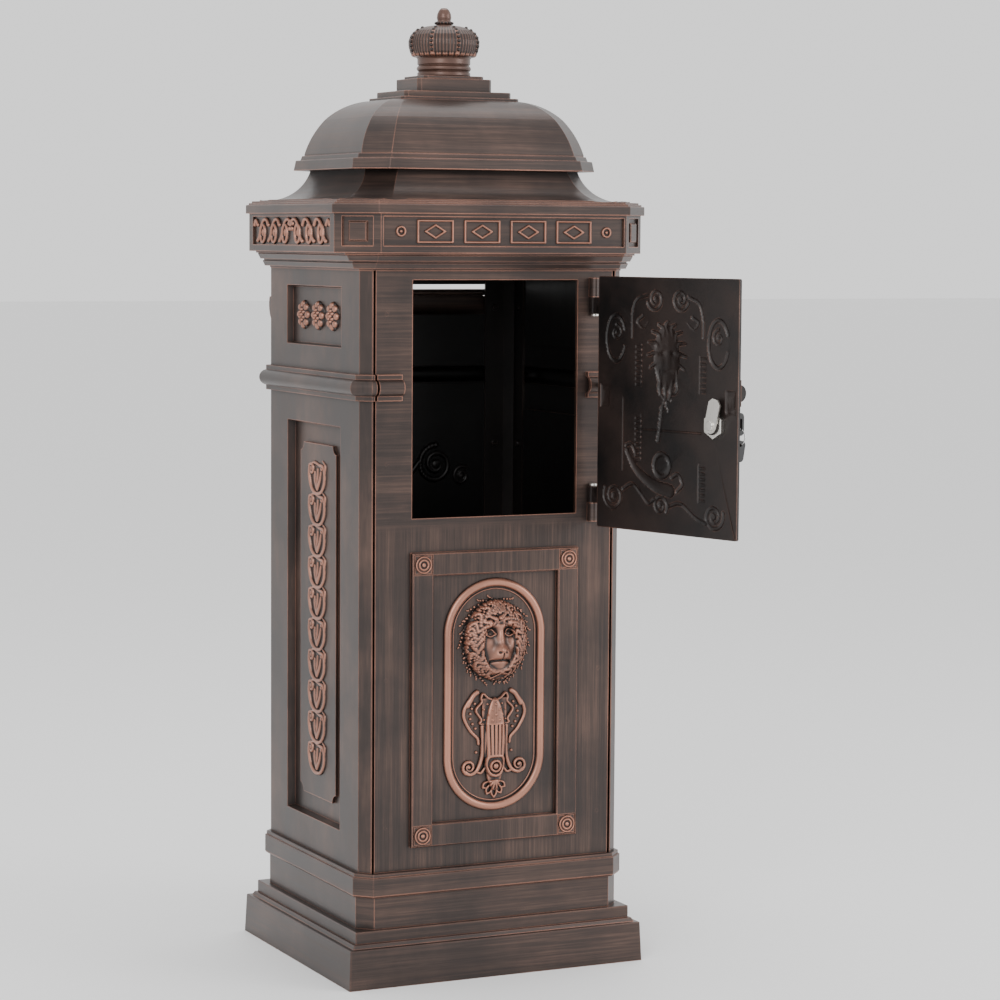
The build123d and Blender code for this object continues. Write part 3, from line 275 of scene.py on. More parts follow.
def lion_face(clay):
    """Height that the face adds to the cushion."""
    lift = mound(clay, 0, -15, 12.5, 11, 10.5) + mound(clay, 0, -29, 8.5, 6, 5.5)
    lift += mound(clay, 0, 8, 5.2, 17, 6.0) + mound(clay, 0, -7.5, 6.0, 4.2, 4.4)
    lift += both(clay, 10.5, 17.5, 8.5, 3.4, 5.4) + both(clay, 15.0, -2.5, 6.5, 8, 3.6)
    lift += both(clay, 11.0, 10.0, 5.6, 4.2, -6.0) + both(clay, 6.5, -14.5, 5.2, 5.0, 2.2)
    lift += both(clay, 3.4, -10.6, 1.8, 1.4, -2.6) + both(clay, 18, 25, 7, 6, 2.0)
    lift += both(clay, 3.5, 22, 1.6, 6, 1.8)
    mouth = -19.5 - 0.016 * clay.across ** 2
    lift -= 3.6 * np.exp(-((clay.upward - mouth) / 1.5) ** 2) * (np.abs(clay.across) < 12)
    lift -= 2.2 * np.exp(-(clay.across / 0.9) ** 2) * (clay.upward < -11) * (clay.upward > -19)
    return lift


def lock_of_hair(angle, start, end, bend):
    """Path of one lock from the face outwards; start and end are shares of the mane's oval."""
    path = []
    for share in np.linspace(0, 1, 14):
        reach = start + (end - start) * share
        turn = angle + bend * math.sin(share * math.pi * 1.5)
        path.append((40.0 * reach * math.cos(turn), 46.5 * reach * math.sin(turn)))
    return path


def draw_lion(clay):
    oval = (clay.across / 36.5) ** 2 + (clay.upward / 43) ** 2
    cushion = 14.0 * np.sqrt(np.clip(1 - oval, 0, 1)) ** 0.8
    face_oval = np.hypot(clay.across / 20.5, (clay.upward + 5) / 29)
    face = lion_face(clay) * np.clip(1.35 - face_oval, 0, 1) ** 0.4
    hair = Clay(clay.across, clay.upward)
    outer_ring = (26, 0.66, 1.05, 3.3, 5.0, 0.30)
    middle_ring = (22, 0.54, 0.90, 3.3, 6.6, -0.26)
    inner_ring = (17, 0.42, 0.72, 3.1, 6.8, 0.24)
    for count, start, end, radius, proud, bend in (outer_ring, middle_ring, inner_ring):
        for index in range(count):
            angle = 2 * math.pi * (index + 0.5) / count
            swing = bend * (1 if math.cos(angle) > 0 else -1) * (1 + 0.35 * math.sin(5.0 * index))
            reach = end * (1 + 0.03 * math.sin(9.0 * index))
            hair.bar(lock_of_hair(angle, start, reach, swing), radius, proud, taper=0.30)
    fringe = np.clip((face_oval - 0.84) / 0.16, 0, 1)
    eyes = Clay(clay.across, clay.upward)
    eyes.stud(10.6, 9.0, 3.6, 3.4, tall=2.7, mirrored=True)
    eyes.bar(smooth_path([(5.8, 8.2), (9.6, 12.2), (14.8, 10.2), (16.4, 7.6)]), 1.1, 3.4, mirrored=True)
    eyes.bar(smooth_path([(6.0, 7.4), (10.6, 5.4), (15.2, 7.0)]), 1.0, 2.6, mirrored=True)
    on_head = cushion > 0
    clay.level = np.maximum(0, cushion + face * on_head) + hair.level * fringe + eyes.level * on_head


mask_board = Board((0, -front_face, 357), (1, 0, 0))
lion = carve("lion_mask", mask_board, 86, 98, 0.42, draw_lion)
dress(lion, "pillar")

# %% [markdown]
# Below the mask hangs a pendant: a studded capital on a fluted shaft, with curved arms at its sides,
# two volutes, a ringed boss and a small palm leaf. It is symmetrical, so most strokes are drawn once
# and mirrored: the clay then measures its distance from the middle line without its sign. The
# strokes lie on a long swelling, which covers the plain core of the frame.

# %% Pendant under the mask
def draw_pendant(clay):
    clay.bar(smooth_path([(20, 56), (27, 50), (34.5, 39), (35, 29), (28, 16), (19.5, 7), (18, 1)]), 2.4, 3.6,
             taper=0.75, mirrored=True)
    clay.bar(smooth_path([(20, 56), (25, 52), (31, 42)]), 2.9, 4.0, mirrored=True)
    for x, y in ((22.5, 44), (26, 39), (27.6, 33.5), (27.6, 28), (25, 22.5), (21.6, 17.5), (20.5, -8)):
        clay.stud(x, y, 1.7, 2.6, mirrored=True)
    clay.pad(-1, 15, 22, 50, 2.4, mirrored=True)
    capital = [(0, 47), (7, 49), (13, 54), (15.5, 50), (15, 45), (21.5, 37), (15.5, 27), (17, 23)]
    clay.bar(smooth_path(capital), 1.5, 3.8, mirrored=True)
    clay.bar([(x, 22.0) for x in np.linspace(0, 16, 30)], 1.2, 3.4, mirrored=True)
    for row, y in enumerate((43, 37.5, 32, 26.5)):
        for x in ((0, 8.4) if row % 2 == 0 else (4.2, 12.4)):
            clay.stud(x, y, 1.6, 4.4, mirrored=True)
    for x in (0.0, 4.6, 9.2, 13.2):
        foot = x * 0.55 + (2.0 if x > 10 else 0)
        clay.bar(smooth_path([(x, 20), (x * 0.94, 5), (foot + 0.30 * x, -12)]), 2.1, 3.2, mirrored=True)
    shaft_side = [(14, 19), (13.6, 0), (14.5, -14), (20, -27), (28, -31), (34, -28)]
    clay.bar(smooth_path(shaft_side), 2.5, 3.9, mirrored=True)
    clay.bar(spiral((29, -23.5), 7.6, 2.0, -60, 1.35), 2.0, 3.7, taper=0.7, mirrored=True)
    clay.stud(29, -23.5, 2.3, 3.2, mirrored=True)
    clay.bar(smooth_path([(0, -12), (8, -13.5), (10.5, -22), (6, -31), (0, -33.5)]), 1.8, 3.4, mirrored=True)
    clay.bar(smooth_path([(10, -24), (15, -30), (20, -29)]), 1.7, 3.2, mirrored=True)
    clay.ring(0, -23, 5.6, 1.5, 3.8)
    clay.stud(0, -23, 3.4, 4.4)
    for angle, long in ((-90, 19.5), (-62, 17.5), (-34, 15.5)):
        tip = (long * math.cos(math.radians(angle)), -37.5 + long * math.sin(math.radians(angle)))
        side = (-math.sin(math.radians(angle)) * 2.9, math.cos(math.radians(angle)) * 2.9)
        middle = (tip[0] * 0.72, -37.5 + (tip[1] + 37.5) * 0.72)
        for sign in (-1, 1):
            belly = (middle[0] + sign * side[0], middle[1] + sign * side[1])
            clay.bar(smooth_path([(0.4, -38.5), belly, tip]), 1.25, 3.0, mirrored=True)
    body = 6.2 * np.clip(1 - (clay.across / 12) ** 2 - (clay.upward / 50) ** 2, 0, 1) ** 0.25
    clay.level = body + clay.level * np.where(body > 0, 0.75, 1.0)


pendant_board = Board((0, -front_face, 246), (1, 0, 0))
dress(carve("pendant", pendant_board, 80, 122, 0.45, draw_pendant), "pillar")

# %% [markdown]
# The oval ring is a half-round moulding with a thin raised line inside it. The rosettes in the corner
# squares of the frame have two rings and a button. Both are drawn on the same front board.

# %% Oval line and corner rosettes
def draw_oval_line(clay):
    straight = 65.0
    beyond = np.maximum(np.abs(clay.upward) - straight, 0)
    radius = np.hypot(clay.across, beyond)
    for middle, half_width, proud in ((54.3, 4.7, 4.7), (47.6, 0.9, 1.3)):
        gap = (radius - middle) / half_width
        clay.level = np.maximum(clay.level, proud * np.sqrt(np.clip(1 - gap ** 2, 0, 1)))


def draw_rosette(clay):
    clay.ring(0, 0, 8.3, 0.9, 1.5)
    clay.ring(0, 0, 5.0, 1.2, 1.8)
    clay.stud(0, 0, 2.6, 2.2)


field_middle = 298.75
for side, facing in (("front", 1), ("back", -1)):
    board = Board((0, -facing * front_face, field_middle), (facing, 0, 0))
    dress(carve("oval_line_" + side, board, 121, 251, 0.6, draw_oval_line), "pillar")
    for index, (x, y) in enumerate(((-84.5, 154.5), (84.5, 154.5), (-84.5, 440), (84.5, 440))):
        spot = Board((facing * x, -facing * (front_face + 6.6), y), (facing, 0, 0))
        dress(carve("rosette_%s_%d" % (side, index), spot, 20, 20, 0.5, draw_rosette), "pillar")

# %% [markdown]
# Each side has a long chain of scrolls on its raised plate: ten links, each a wide loop with a curl at
# its shoulder and a three-lobed leaf inside. One link is drawn as strokes and shifted by the pitch.

# %% Chain of scrolls on the side plates
link_pitch = 33.6
link_count = 10
chain_middle = 370.5


def draw_chain(clay):
    for index in range(link_count):
        y = (index - (link_count - 1) / 2) * link_pitch
        loop = [(-20, 13), (-21.5, 3), (-17, -9), (-8, -15.5), (2, -16.5), (12, -14), (19.5, -6), (21, 4),
                (17, 12.5), (8, 14)]
        clay.bar(smooth_path([(x, y + z) for x, z in loop]), 2.5, 3.0, taper=0.8)
        clay.bar(spiral((-15.5, y + 9), 6.0, 1.6, 150, -1.3), 2.0, 2.8, taper=0.8)
        clay.stud(-15.5, y + 9, 2.0, 2.6)
        clay.bar(smooth_path([(-18, y + 13.5), (-8, y + 16.5), (7, y + 14)]), 1.7, 2.4)
        clay.bar(smooth_path([(21, y + 4), (22, y + 14), (14, y + 19)]), 2.0, 2.6, taper=0.5)
        for tip, height in ((-7.5, 6.0), (1.0, 9.5), (9.5, 6.5)):
            clay.bar(smooth_path([(1, y - 11), (tip * 0.75, y - 2), (tip, y + height)]), 3.1, 2.9, taper=0.55)
        clay.stud(12.5, y + 10.5, 2.4, 2.4)


plate_out = 3.5
long_tray_depth = 9.0
tray_floor = side_face - long_tray_depth
for name, sign in (("left", -1), ("right", 1)):
    board = Board((sign * (tray_floor + plate_out), 0, chain_middle), (0, sign, 0))
    dress(carve("scroll_chain_" + name, board, 52, 346, 0.62, draw_chain), "pillar")

# %% [markdown]
# The small tray above the waist holds three flowers. Each is a ring of round petals, a smaller ring of
# beads and a button in the middle.

# %% Flowers in the small trays
def draw_flower(clay):
    clay.stud(0, 0, 15.0, 3.0)
    for index in range(8):
        angle = 2 * math.pi * index / 8
        clay.stud(11.0 * math.cos(angle), 11.0 * math.sin(angle), 4.6, 5.2)
    for index in range(6):
        angle = 2 * math.pi * (index + 0.5) / 6
        clay.stud(5.6 * math.cos(angle), 5.6 * math.sin(angle), 2.5, 6.4)
    clay.stud(0, 0, 3.0, 7.2)


flower_pitch = 40.5
flower_height = 695.5
small_tray_depth = 7.0
for name, sign in (("left", -1), ("right", 1)):
    for place in (-1, 0, 1):
        spot = (sign * (side_face - small_tray_depth), place * flower_pitch, flower_height)
        board = Board(spot, (0, sign, 0))
        dress(carve("flower_%s_%d" % (name, place + 2), board, 32, 32, 0.5, draw_flower), "pillar")

# %% [markdown]
# The frieze of the cornice has a run of scrolls on each side, mirrored about a small flower. On its
# front and back there are two ringed dots and, between them, four plain ornaments: an outlined
# oblong with a lozenge in it.

# %% Frieze ornament
frieze_middle = 785.25
recess_depth = 2.4
frieze_side = side_face + 26.8 - recess_depth
frieze_front = front_face + 22.8 - recess_depth


def draw_scroll_run(clay):
    for index in range(3):
        middle = 18 + 32.5 * index
        loop = [(middle + 7 * math.sin(t), -3 - 9.5 * math.cos(t)) for t in np.linspace(-0.3, 5.9, 40)]
        clay.bar(loop, 1.9, 3.0, mirrored=True)
        clay.bar(smooth_path([(middle - 17, 6), (middle - 12, 11.5), (middle - 4, 11), (middle + 4, 3),
                              (middle + 8, -6), (middle + 14, -11)]), 2.1, 3.4, mirrored=True)
        clay.stud(middle, -2, 2.2, 2.6, tall=4.5, mirrored=True)
    clay.bar(smooth_path([(98, 6), (103, 11), (107, 6)]), 2.0, 3.0, mirrored=True)
    clay.stud(0, 10, 2.6, 3.6)
    clay.stud(5.2, 7.5, 2.6, 3.4, mirrored=True)
    clay.stud(3.4, 2, 2.6, 3.4, mirrored=True)


def draw_plain_run(clay):
    for dot in (-118, 118):
        clay.ring(dot, 0, 4.6, 1.2, 2.2)
        clay.stud(dot, 0, 1.8, 2.2)
    for index in range(4):
        middle = -79.5 + 53 * index
        half_wide, half_tall = 19.5, 11.0
        corners = ((-1, -1), (1, -1), (1, 1), (-1, 1))
        box = [(half_wide * x, half_tall * y) for x, y in corners]
        lozenge = [(-11, 0), (0, -6.5), (11, 0), (0, 6.5)]
        for shape in (box, lozenge):
            for (ax, ay), (bx, by) in zip(shape, shape[1:] + shape[:1]):
                run = [(middle + ax + (bx - ax) * t, ay + (by - ay) * t) for t in np.linspace(0, 1, 50)]
                clay.bar(run, 1.2, 2.2)


for name, sign in (("left", -1), ("right", 1)):
    board = Board((sign * frieze_side, 0, frieze_middle), (0, sign, 0))
    dress(carve("frieze_scrolls_" + name, board, 219, 29.6, 0.55, draw_scroll_run), "pillar")
for name, facing in (("front", 1), ("back", -1)):
    board = Board((0, -facing * frieze_front, frieze_middle), (facing, 0, 0))
    dress(carve("frieze_ornament_" + name, board, 262, 29, 0.5, draw_plain_run), "pillar")

# %% [markdown]
# The door's ornament is pressed right through its thin casting: what stands out on its face is hollow
# on its back. So the strokes are written once, as seen from the back with the hinge on the left. They
# are used twice: pushed out for the face, and, as a stamp, pressed into a copy of the door.

# %% Strokes of the door ornament
door_foot = 474.8
door_top = 739.7
door_wide = 205.2
door_side = hinge_at[0] - 11.8
lock_middle = (-72.6, 590.7)


def scroll(clay, centre, outer, start, turns, radius, proud):
    clay.bar(spiral(centre, outer, outer * 0.18, start, turns), radius, proud, taper=0.7)
    clay.stud(centre[0], centre[1], outer * 0.26, proud)


def draw_door_mask(clay):
    """Long bearded mask with a wavy mane, in the middle of the upper half."""
    x, y = -0.5, 50
    lift = 5.6 * np.sqrt(np.clip(1 - ((clay.across - x) / 19) ** 2 - ((clay.upward - y) / 34) ** 2, 0, 1))
    on = lift > 0
    features = Clay(clay.across - x, clay.upward - y)
    shape = mound(features, 0, 2, 3.2, 12, 3.4) + mound(features, 0, -8, 4.6, 3.2, 2.2)
    shape += both(features, 7, 9, 5.0, 2.2, 2.4) + both(features, 7, 4.5, 3.6, 2.6, -3.0)
    shape += both(features, 9, -6, 4, 5, 1.6) + mound(features, 0, -14, 6.0, 1.4, -2.2)
    shape += mound(features, 0, -20, 6, 3, 1.6)
    clay.level = np.maximum(clay.level, np.where(on, lift + shape, 0))
    for index in range(11):
        angle = math.radians(-28 + 236 * index / 10)
        root = (x + 15 * math.cos(angle), y + 4 + 20 * math.sin(angle))
        bend = 7 if math.cos(angle) > 0 else -7
        tip = (x + 27 * math.cos(angle) + 0.3 * bend, y + 4 + 33 * math.sin(angle))
        belly = ((root[0] + tip[0]) / 2 - 0.5 * bend, (root[1] + tip[1]) / 2 + 2)
        clay.bar(smooth_path([root, belly, tip]), 3.2, 4.6, taper=0.5)
    for index in range(7):
        share = (index - 3) / 3
        root = (x + 13 * share, y - 14 - 4 * (1 - abs(share)))
        tip = (x + 7 * share + (3 if index % 2 else -3), y - 56 + 17 * abs(share))
        belly = (x + 12 * share + (-3 if index % 2 else 3), y - 34)
        clay.bar(smooth_path([root, belly, tip]), 2.9, 4.8, taper=0.45)


def draw_door_scrolls(clay):
    scroll(clay, (-18, 110), 12.0, 200, 1.6, 2.2, 2.6)
    scroll(clay, (19, 110), 12.0, -20, -1.6, 2.2, 2.6)
    clay.bar(smooth_path([(-29, 114), (-46, 108), (-52, 92), (-52, 70)]), 2.0, 2.4)
    clay.bar(smooth_path([(-36, 92), (-44, 86), (-36, 80), (-28, 86)]), 2.2, 2.4, taper=0.6)
    clay.bar(smooth_path([(30, 113), (46, 106), (52, 88), (52, 72)]), 2.0, 2.4)
    clay.bar(smooth_path([(36, 92), (45, 87), (38, 80), (29, 86)]), 2.2, 2.4, taper=0.6)
    for x, y, start, way in ((-76, 68, 90, -1), (74, 66, 90, 1)):
        loop = [(x + 14 * math.cos(t), y + 24 * math.sin(t)) for t in np.linspace(0.4, 5.9, 60)]
        clay.bar(loop, 2.4, 2.6)
        scroll(clay, (x, y + 6), 8.5, start, 1.3 * way, 1.9, 2.4)
    low_scrolls = ((-78, -98, 15, 150, 1.8), (70, -110, 14, 20, -1.8), (-8, -104, 11, -30, 1.6))
    for x, y, outer, start, turns in low_scrolls:
        scroll(clay, (x, y), outer, start, turns, 2.4, 2.8)
    clay.bar(smooth_path([(-64, -90), (-50, -84), (-38, -92), (-26, -102), (-17, -98)]), 2.2, 2.6)
    clay.bar(smooth_path([(4, -104), (22, -100), (42, -112), (58, -118)]), 2.2, 2.6)


def draw_door_straps(clay):
    for side, low, high in ((-1, 18, 64), (-1, -62, -10), (1, 14, 54), (1, -98, -56)):
        x = -43 if side < 0 else 53
        count = int((high - low) / 5.6)
        for index in range(count):
            y = low + 5.6 * (index + 0.5)
            clay.pad(x - 4.6, x + 4.6, y - 1.9, y + 1.9, 1.9, slope=0.8)
        clay.pad(x - side * 5.4 - 1.2, x - side * 5.4 + 1.2, low, high, 1.9, slope=0.8)
    clay.bar([(-65, y) for y in np.linspace(-70, 6, 90)], 1.3, 1.7)
    clay.bar([(x, -26) for x in np.linspace(-40, 50, 100)], 1.5, 2.0)
    for x in (-92, 92):
        clay.pad(x - 8, x + 8, -6, 20, 2.2, slope=2.5)
        clay.pad(x - 5, x + 5, -1, 15, 3.0, slope=2.0)


def draw_door_horn(clay):
    clay.ring(-6, -62, 11.5, 3.0, 3.0)
    clay.bar(smooth_path([(-7, -2), (-9, -18), (-12, -36)]), 2.6, 3.0)
    for index in range(8):
        share = index / 7
        clay.stud(-7 - 5 * share, -4 - 32 * share, 3.6, 3.4, tall=1.7)
    clay.bar(smooth_path([(-58, -50), (-46, -66), (-32, -76), (-14, -84), (6, -88)]), 3.6, 3.0, taper=2.0)
    clay.bar(smooth_path([(-60, -44), (-52, -42), (-46, -50)]), 2.2, 2.4)
    clay.bar(smooth_path([(8, -74), (18, -70), (24, -80), (16, -88)]), 2.2, 2.4)


def draw_door(clay):
    draw_door_mask(clay)
    draw_door_scrolls(clay)
    draw_door_straps(clay)
    draw_door_horn(clay)
    gap = np.hypot(clay.across - lock_spot[0], clay.upward - lock_spot[1])
    clay.level = clay.level * np.clip((gap - 17) / 4, 0, 1)


def draw_door_face(clay):
    """The same strokes seen from the other side."""
    clay.across = -clay.across
    draw_door(clay)
    body = 6.7 * np.clip(1 - ((clay.across + 0.4) / 25) ** 2 - ((clay.upward - 49) / 53) ** 2, 0, 1) ** 0.25
    clay.level = body + clay.level * np.where(body > 0, 0.6, 1.0)


def draw_door_stamp(clay):
    draw_door(clay)
    clay.level = np.where(clay.level > 0.05, -deepest * np.tanh(clay.level / 4.5), 0.3)


# %% [markdown]
# The stamp is a closed block whose underside carries the strokes. A Boolean modifier takes it out of
# a copy of the door, which then stands in for the frame's own plain door. Its normals are weighted
# by area, so that the flat of the door stays flat between the hollows.

# %% Press the ornament into the door
deepest = 3.1
door_skin = -135.7
door_face = -140.2
centre_x = door_side - door_wide / 2
centre_z = (door_foot + door_top) / 2
lock_spot = (centre_x - lock_middle[0], lock_middle[1] - centre_z)


def copy_of(node, name):
    """Own merged copy of a frame node's mesh, to be shaped freely."""
    bpy.ops.object.select_all(action="DESELECT")
    source = bpy.data.objects[node]
    piece = bpy.data.objects.new(name, source.data.copy())
    piece.data.name = name
    bpy.context.scene.collection.objects.link(piece)
    select_points(piece, np.ones(len(piece.data.vertices), bool))
    bpy.ops.mesh.remove_doubles(threshold=0.00001)
    bpy.ops.object.mode_set(mode="OBJECT")
    return piece


def close_block(piece, direction, depth):
    """Draws the open rim of a sheet out into a closed block."""
    select_points(piece, np.zeros(len(piece.data.vertices), bool))
    bpy.ops.mesh.select_non_manifold()
    bpy.ops.mesh.extrude_region_move(TRANSFORM_OT_translate={"value": Vector(direction) * depth * MM})
    bpy.ops.mesh.edge_face_add()
    bpy.ops.mesh.select_all(action="SELECT")
    bpy.ops.mesh.normals_make_consistent(inside=False)
    bpy.ops.object.mode_set(mode="OBJECT")


def press(piece, stamp):
    """Takes the stamp out of the piece."""
    bpy.ops.object.select_all(action="DESELECT")
    bpy.context.view_layer.objects.active = piece
    piece.select_set(True)
    cut = piece.modifiers.new("press", "BOOLEAN")
    cut.operation = "DIFFERENCE"
    cut.solver = "EXACT"
    cut.object = stamp
    bpy.ops.object.modifier_apply(modifier=cut.name)
    bpy.data.objects.remove(stamp)


back_board = door_board((centre_x, door_skin, centre_z), (-1, 0, 0))
stamp = carve("door_stamp", back_board, 199, 258, 1.1, draw_door_stamp, keep_flat=True)
close_block(stamp, back_board.out, 2.0)
door_casting = copy_of("door", "door_casting")
press(door_casting, stamp)
bpy.ops.object.select_all(action="DESELECT")
door_casting.select_set(True)
bpy.context.view_layer.objects.active = door_casting
bpy.ops.object.shade_smooth_by_angle(angle=math.radians(28))
even = door_casting.modifiers.new("even", "WEIGHTED_NORMAL")
even.weight = 100
even.keep_sharp = True
bpy.ops.object.modifier_apply(modifier=even.name)
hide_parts("door")
dress(door_casting, "door")

face_board = door_board((centre_x, door_face, centre_z), (1, 0, 0))
dress(carve("door_ornament", face_board, 199, 258, 0.8, draw_door_face), "door")

# %% [markdown]
# The back wall of the compartment shows the hollow side of its own scrollwork. Only a pair of scrolls
# is needed there. They are carved in low relief on the inside of the wall.

# %% Scrolls inside the back wall
def draw_inside(clay):
    for side in (-1, 1):
        scroll(clay, (side * 52, 0), 22, 90 if side > 0 else 90, 1.9 * side, 3.4, 2.4)
        clay.bar(smooth_path([(side * 30, 2), (side * 16, -14), (0, -20)]), 3.2, 2.4)
        scroll(clay, (side * 84, -14), 11, 60, 1.5 * side, 2.4, 2.0)


wall_thick = 4.5
back_inside = front_face - wall_thick
inside_board = Board((0, back_inside, 522), (1, 0, 0))
dress(carve("scrolls_inside", inside_board, 206, 56, 1.0, draw_inside), "pillar")

# %% [markdown]
# The finial is a closed crown: a ringed neck, a belly with fine upright flutes and eight strings of
# beads, and an egg-shaped knob. The belly is a turned form, so a grid is rolled up: one side of the
# grid becomes the angle, the other runs up the outline, and the radius carries the flutes.

# %% Crown
crown_low = corner_low("crown_finial")[2]
neck_outline = [(0.0, 0), (28.6, 0), (28.6, 4), (27.2, 5), (29.0, 7), (29.4, 8.5), (29.0, 10), (27.2, 12),
                (28.6, 13), (28.6, 18.6)]
belly_outline = [(29.6, 20.3), (33.5, 21.2), (36.6, 26), (38.2, 33), (38.3, 38), (36.2, 44), (31.4, 49),
                 (25, 52), (19, 53.6), (12, 54.6)]
knob_outline = [(8, 54.9), (9.4, 56.9), (7.2, 59.9), (7.9, 63), (7.4, 67), (5.6, 71), (3.2, 73.2),
                (0.0, 73.6)]
outline = neck_outline + belly_outline + knob_outline
strings = 8


def belly_share(height):
    """1 on the belly of the crown, 0 on its neck and knob."""
    return np.clip((height - 19.5) / 3.5, 0, 1) * np.clip((54 - height) / 6, 0, 1)


def rolled(name, path, columns, rows_per_step, radius_at):
    """A grid rolled up about the pillar's axis, following a path of radius and height."""
    rows = len(path) * rows_per_step
    bpy.ops.object.select_all(action="DESELECT")
    bpy.ops.mesh.primitive_grid_add(x_subdivisions=columns, y_subdivisions=rows, size=1)
    piece = bpy.context.object
    piece.name = piece.data.name = name
    points = np.empty(len(piece.data.vertices) * 3)
    piece.data.vertices.foreach_get("co", points)
    points = points.reshape(-1, 3)
    turn = (points[:, 0] + 0.5) * 2 * math.pi
    along = (points[:, 1] + 0.5) * (len(path) - 1)
    radius = np.interp(along, range(len(path)), [spot[0] for spot in path])
    height = np.interp(along, range(len(path)), [spot[1] for spot in path])
    extra = radius_at(turn, height)
    radius = np.where(radius > 0, radius + extra, 0)
    spots = np.stack((radius * np.cos(turn), radius * np.sin(turn), height + crown_low), axis=1) * MM
    piece.data.vertices.foreach_set("co", spots.ravel())
    raised = piece.data.attributes.new("raised", "FLOAT", "POINT")
    raised.data.foreach_set("value", np.clip(0.35 + extra / 1.5, 0, 1))
    select_points(piece, np.ones(len(points), bool))
    bpy.ops.mesh.remove_doubles(threshold=0.000005)
    bpy.ops.mesh.normals_make_consistent(inside=False)
    bpy.ops.object.mode_set(mode="OBJECT")
    bpy.ops.object.shade_smooth()
    return piece


def crown_relief(turn, height):
    """How far the flutes and the scalloped rim stand out."""
    flute = -0.8 * (1 - np.abs(np.sin(turn * 32)) ** 0.6)
    between = np.abs(np.sin(turn * strings / 2))
    rib = 0.9 * np.clip(1 - between / 0.22, 0, 1)
    scallop = 1.0 * np.abs(np.cos(turn * 16)) * np.clip(1 - np.abs(height - 22.5) / 2.2, 0, 1)
    return belly_share(height) * (flute + rib) + scallop


crown = rolled("crown_casting", outline, 384, 6, crown_relief)
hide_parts("crown_finial")
dress(crown, "pillar")

# %% [markdown]
# The beads are one small ball, copied along each string. Every copy keeps only a few dozen faces.

# %% Beads on the crown
def bead(place, radius):
    bpy.ops.mesh.primitive_uv_sphere_add(segments=12, ring_count=7, radius=radius * MM, location=place)
    return bpy.context.object


def join(name, parts):
    bpy.ops.object.select_all(action="DESELECT")
    for part in parts:
        part.select_set(True)
    bpy.context.view_layer.objects.active = parts[0]
    bpy.ops.object.join()
    piece = bpy.context.object
    piece.name = piece.data.name = name
    bpy.ops.object.transform_apply(location=True, rotation=True, scale=True)
    bpy.ops.object.shade_smooth()
    return piece


string_path = ((37.3, 27.5), (38.6, 32), (38.8, 36.6), (37.8, 41), (35.0, 45.2), (30.8, 48.8),
               (25.4, 51.4))
beads = []
for string in range(strings):
    angle = 2 * math.pi * string / strings
    for radius, height in string_path:
        spot = (radius * math.cos(angle), radius * math.sin(angle), height + crown_low)
        beads.append(bead([value * MM for value in spot], 2.0))
for index in range(14):
    angle = 2 * math.pi * index / 14
    spot = (9.0 * math.cos(angle), 9.0 * math.sin(angle), crown_low + 57.2)
    beads.append(bead([value * MM for value in spot], 1.5))
dress(join("crown_beads", beads), "pillar")

# %% [markdown]
# The finish is a dark lacquer on cast metal, brushed on in streaks and rubbed back to copper where a
# hand or a cloth would catch it. To write such a finish as ordinary sums, one small class wraps a
# socket. Adding or multiplying it makes the Math node, so the formulas below read as arithmetic.

# %% Arithmetic on sockets
class Signal:
    """A number that changes over the surface."""

    def __init__(self, finish, socket):
        self.finish = finish
        self.socket = socket

    def math(self, operation, first, second, clamp=False):
        settings = {"operation": operation, "use_clamp": clamp}
        return self.finish.node("ShaderNodeMath", settings, {0: first, 1: second})

    def __add__(self, other):
        return self.math("ADD", self, other)

    def __sub__(self, other):
        return self.math("SUBTRACT", self, other)

    def __rsub__(self, other):
        return self.math("SUBTRACT", other, self)

    def __mul__(self, other):
        return self.math("MULTIPLY", self, other)

    def __truediv__(self, other):
        return self.math("DIVIDE", self, other)

    __radd__ = __add__
    __rmul__ = __mul__

    def clamp(self):
        return self.math("ADD", self, 0.0, clamp=True)

    def step(self, low, high):
        """0 below low, 1 above high, straight between."""
        return ((self - low) / (high - low)).clamp()

    def biggest(self, other):
        return self.math("MAXIMUM", self, other)


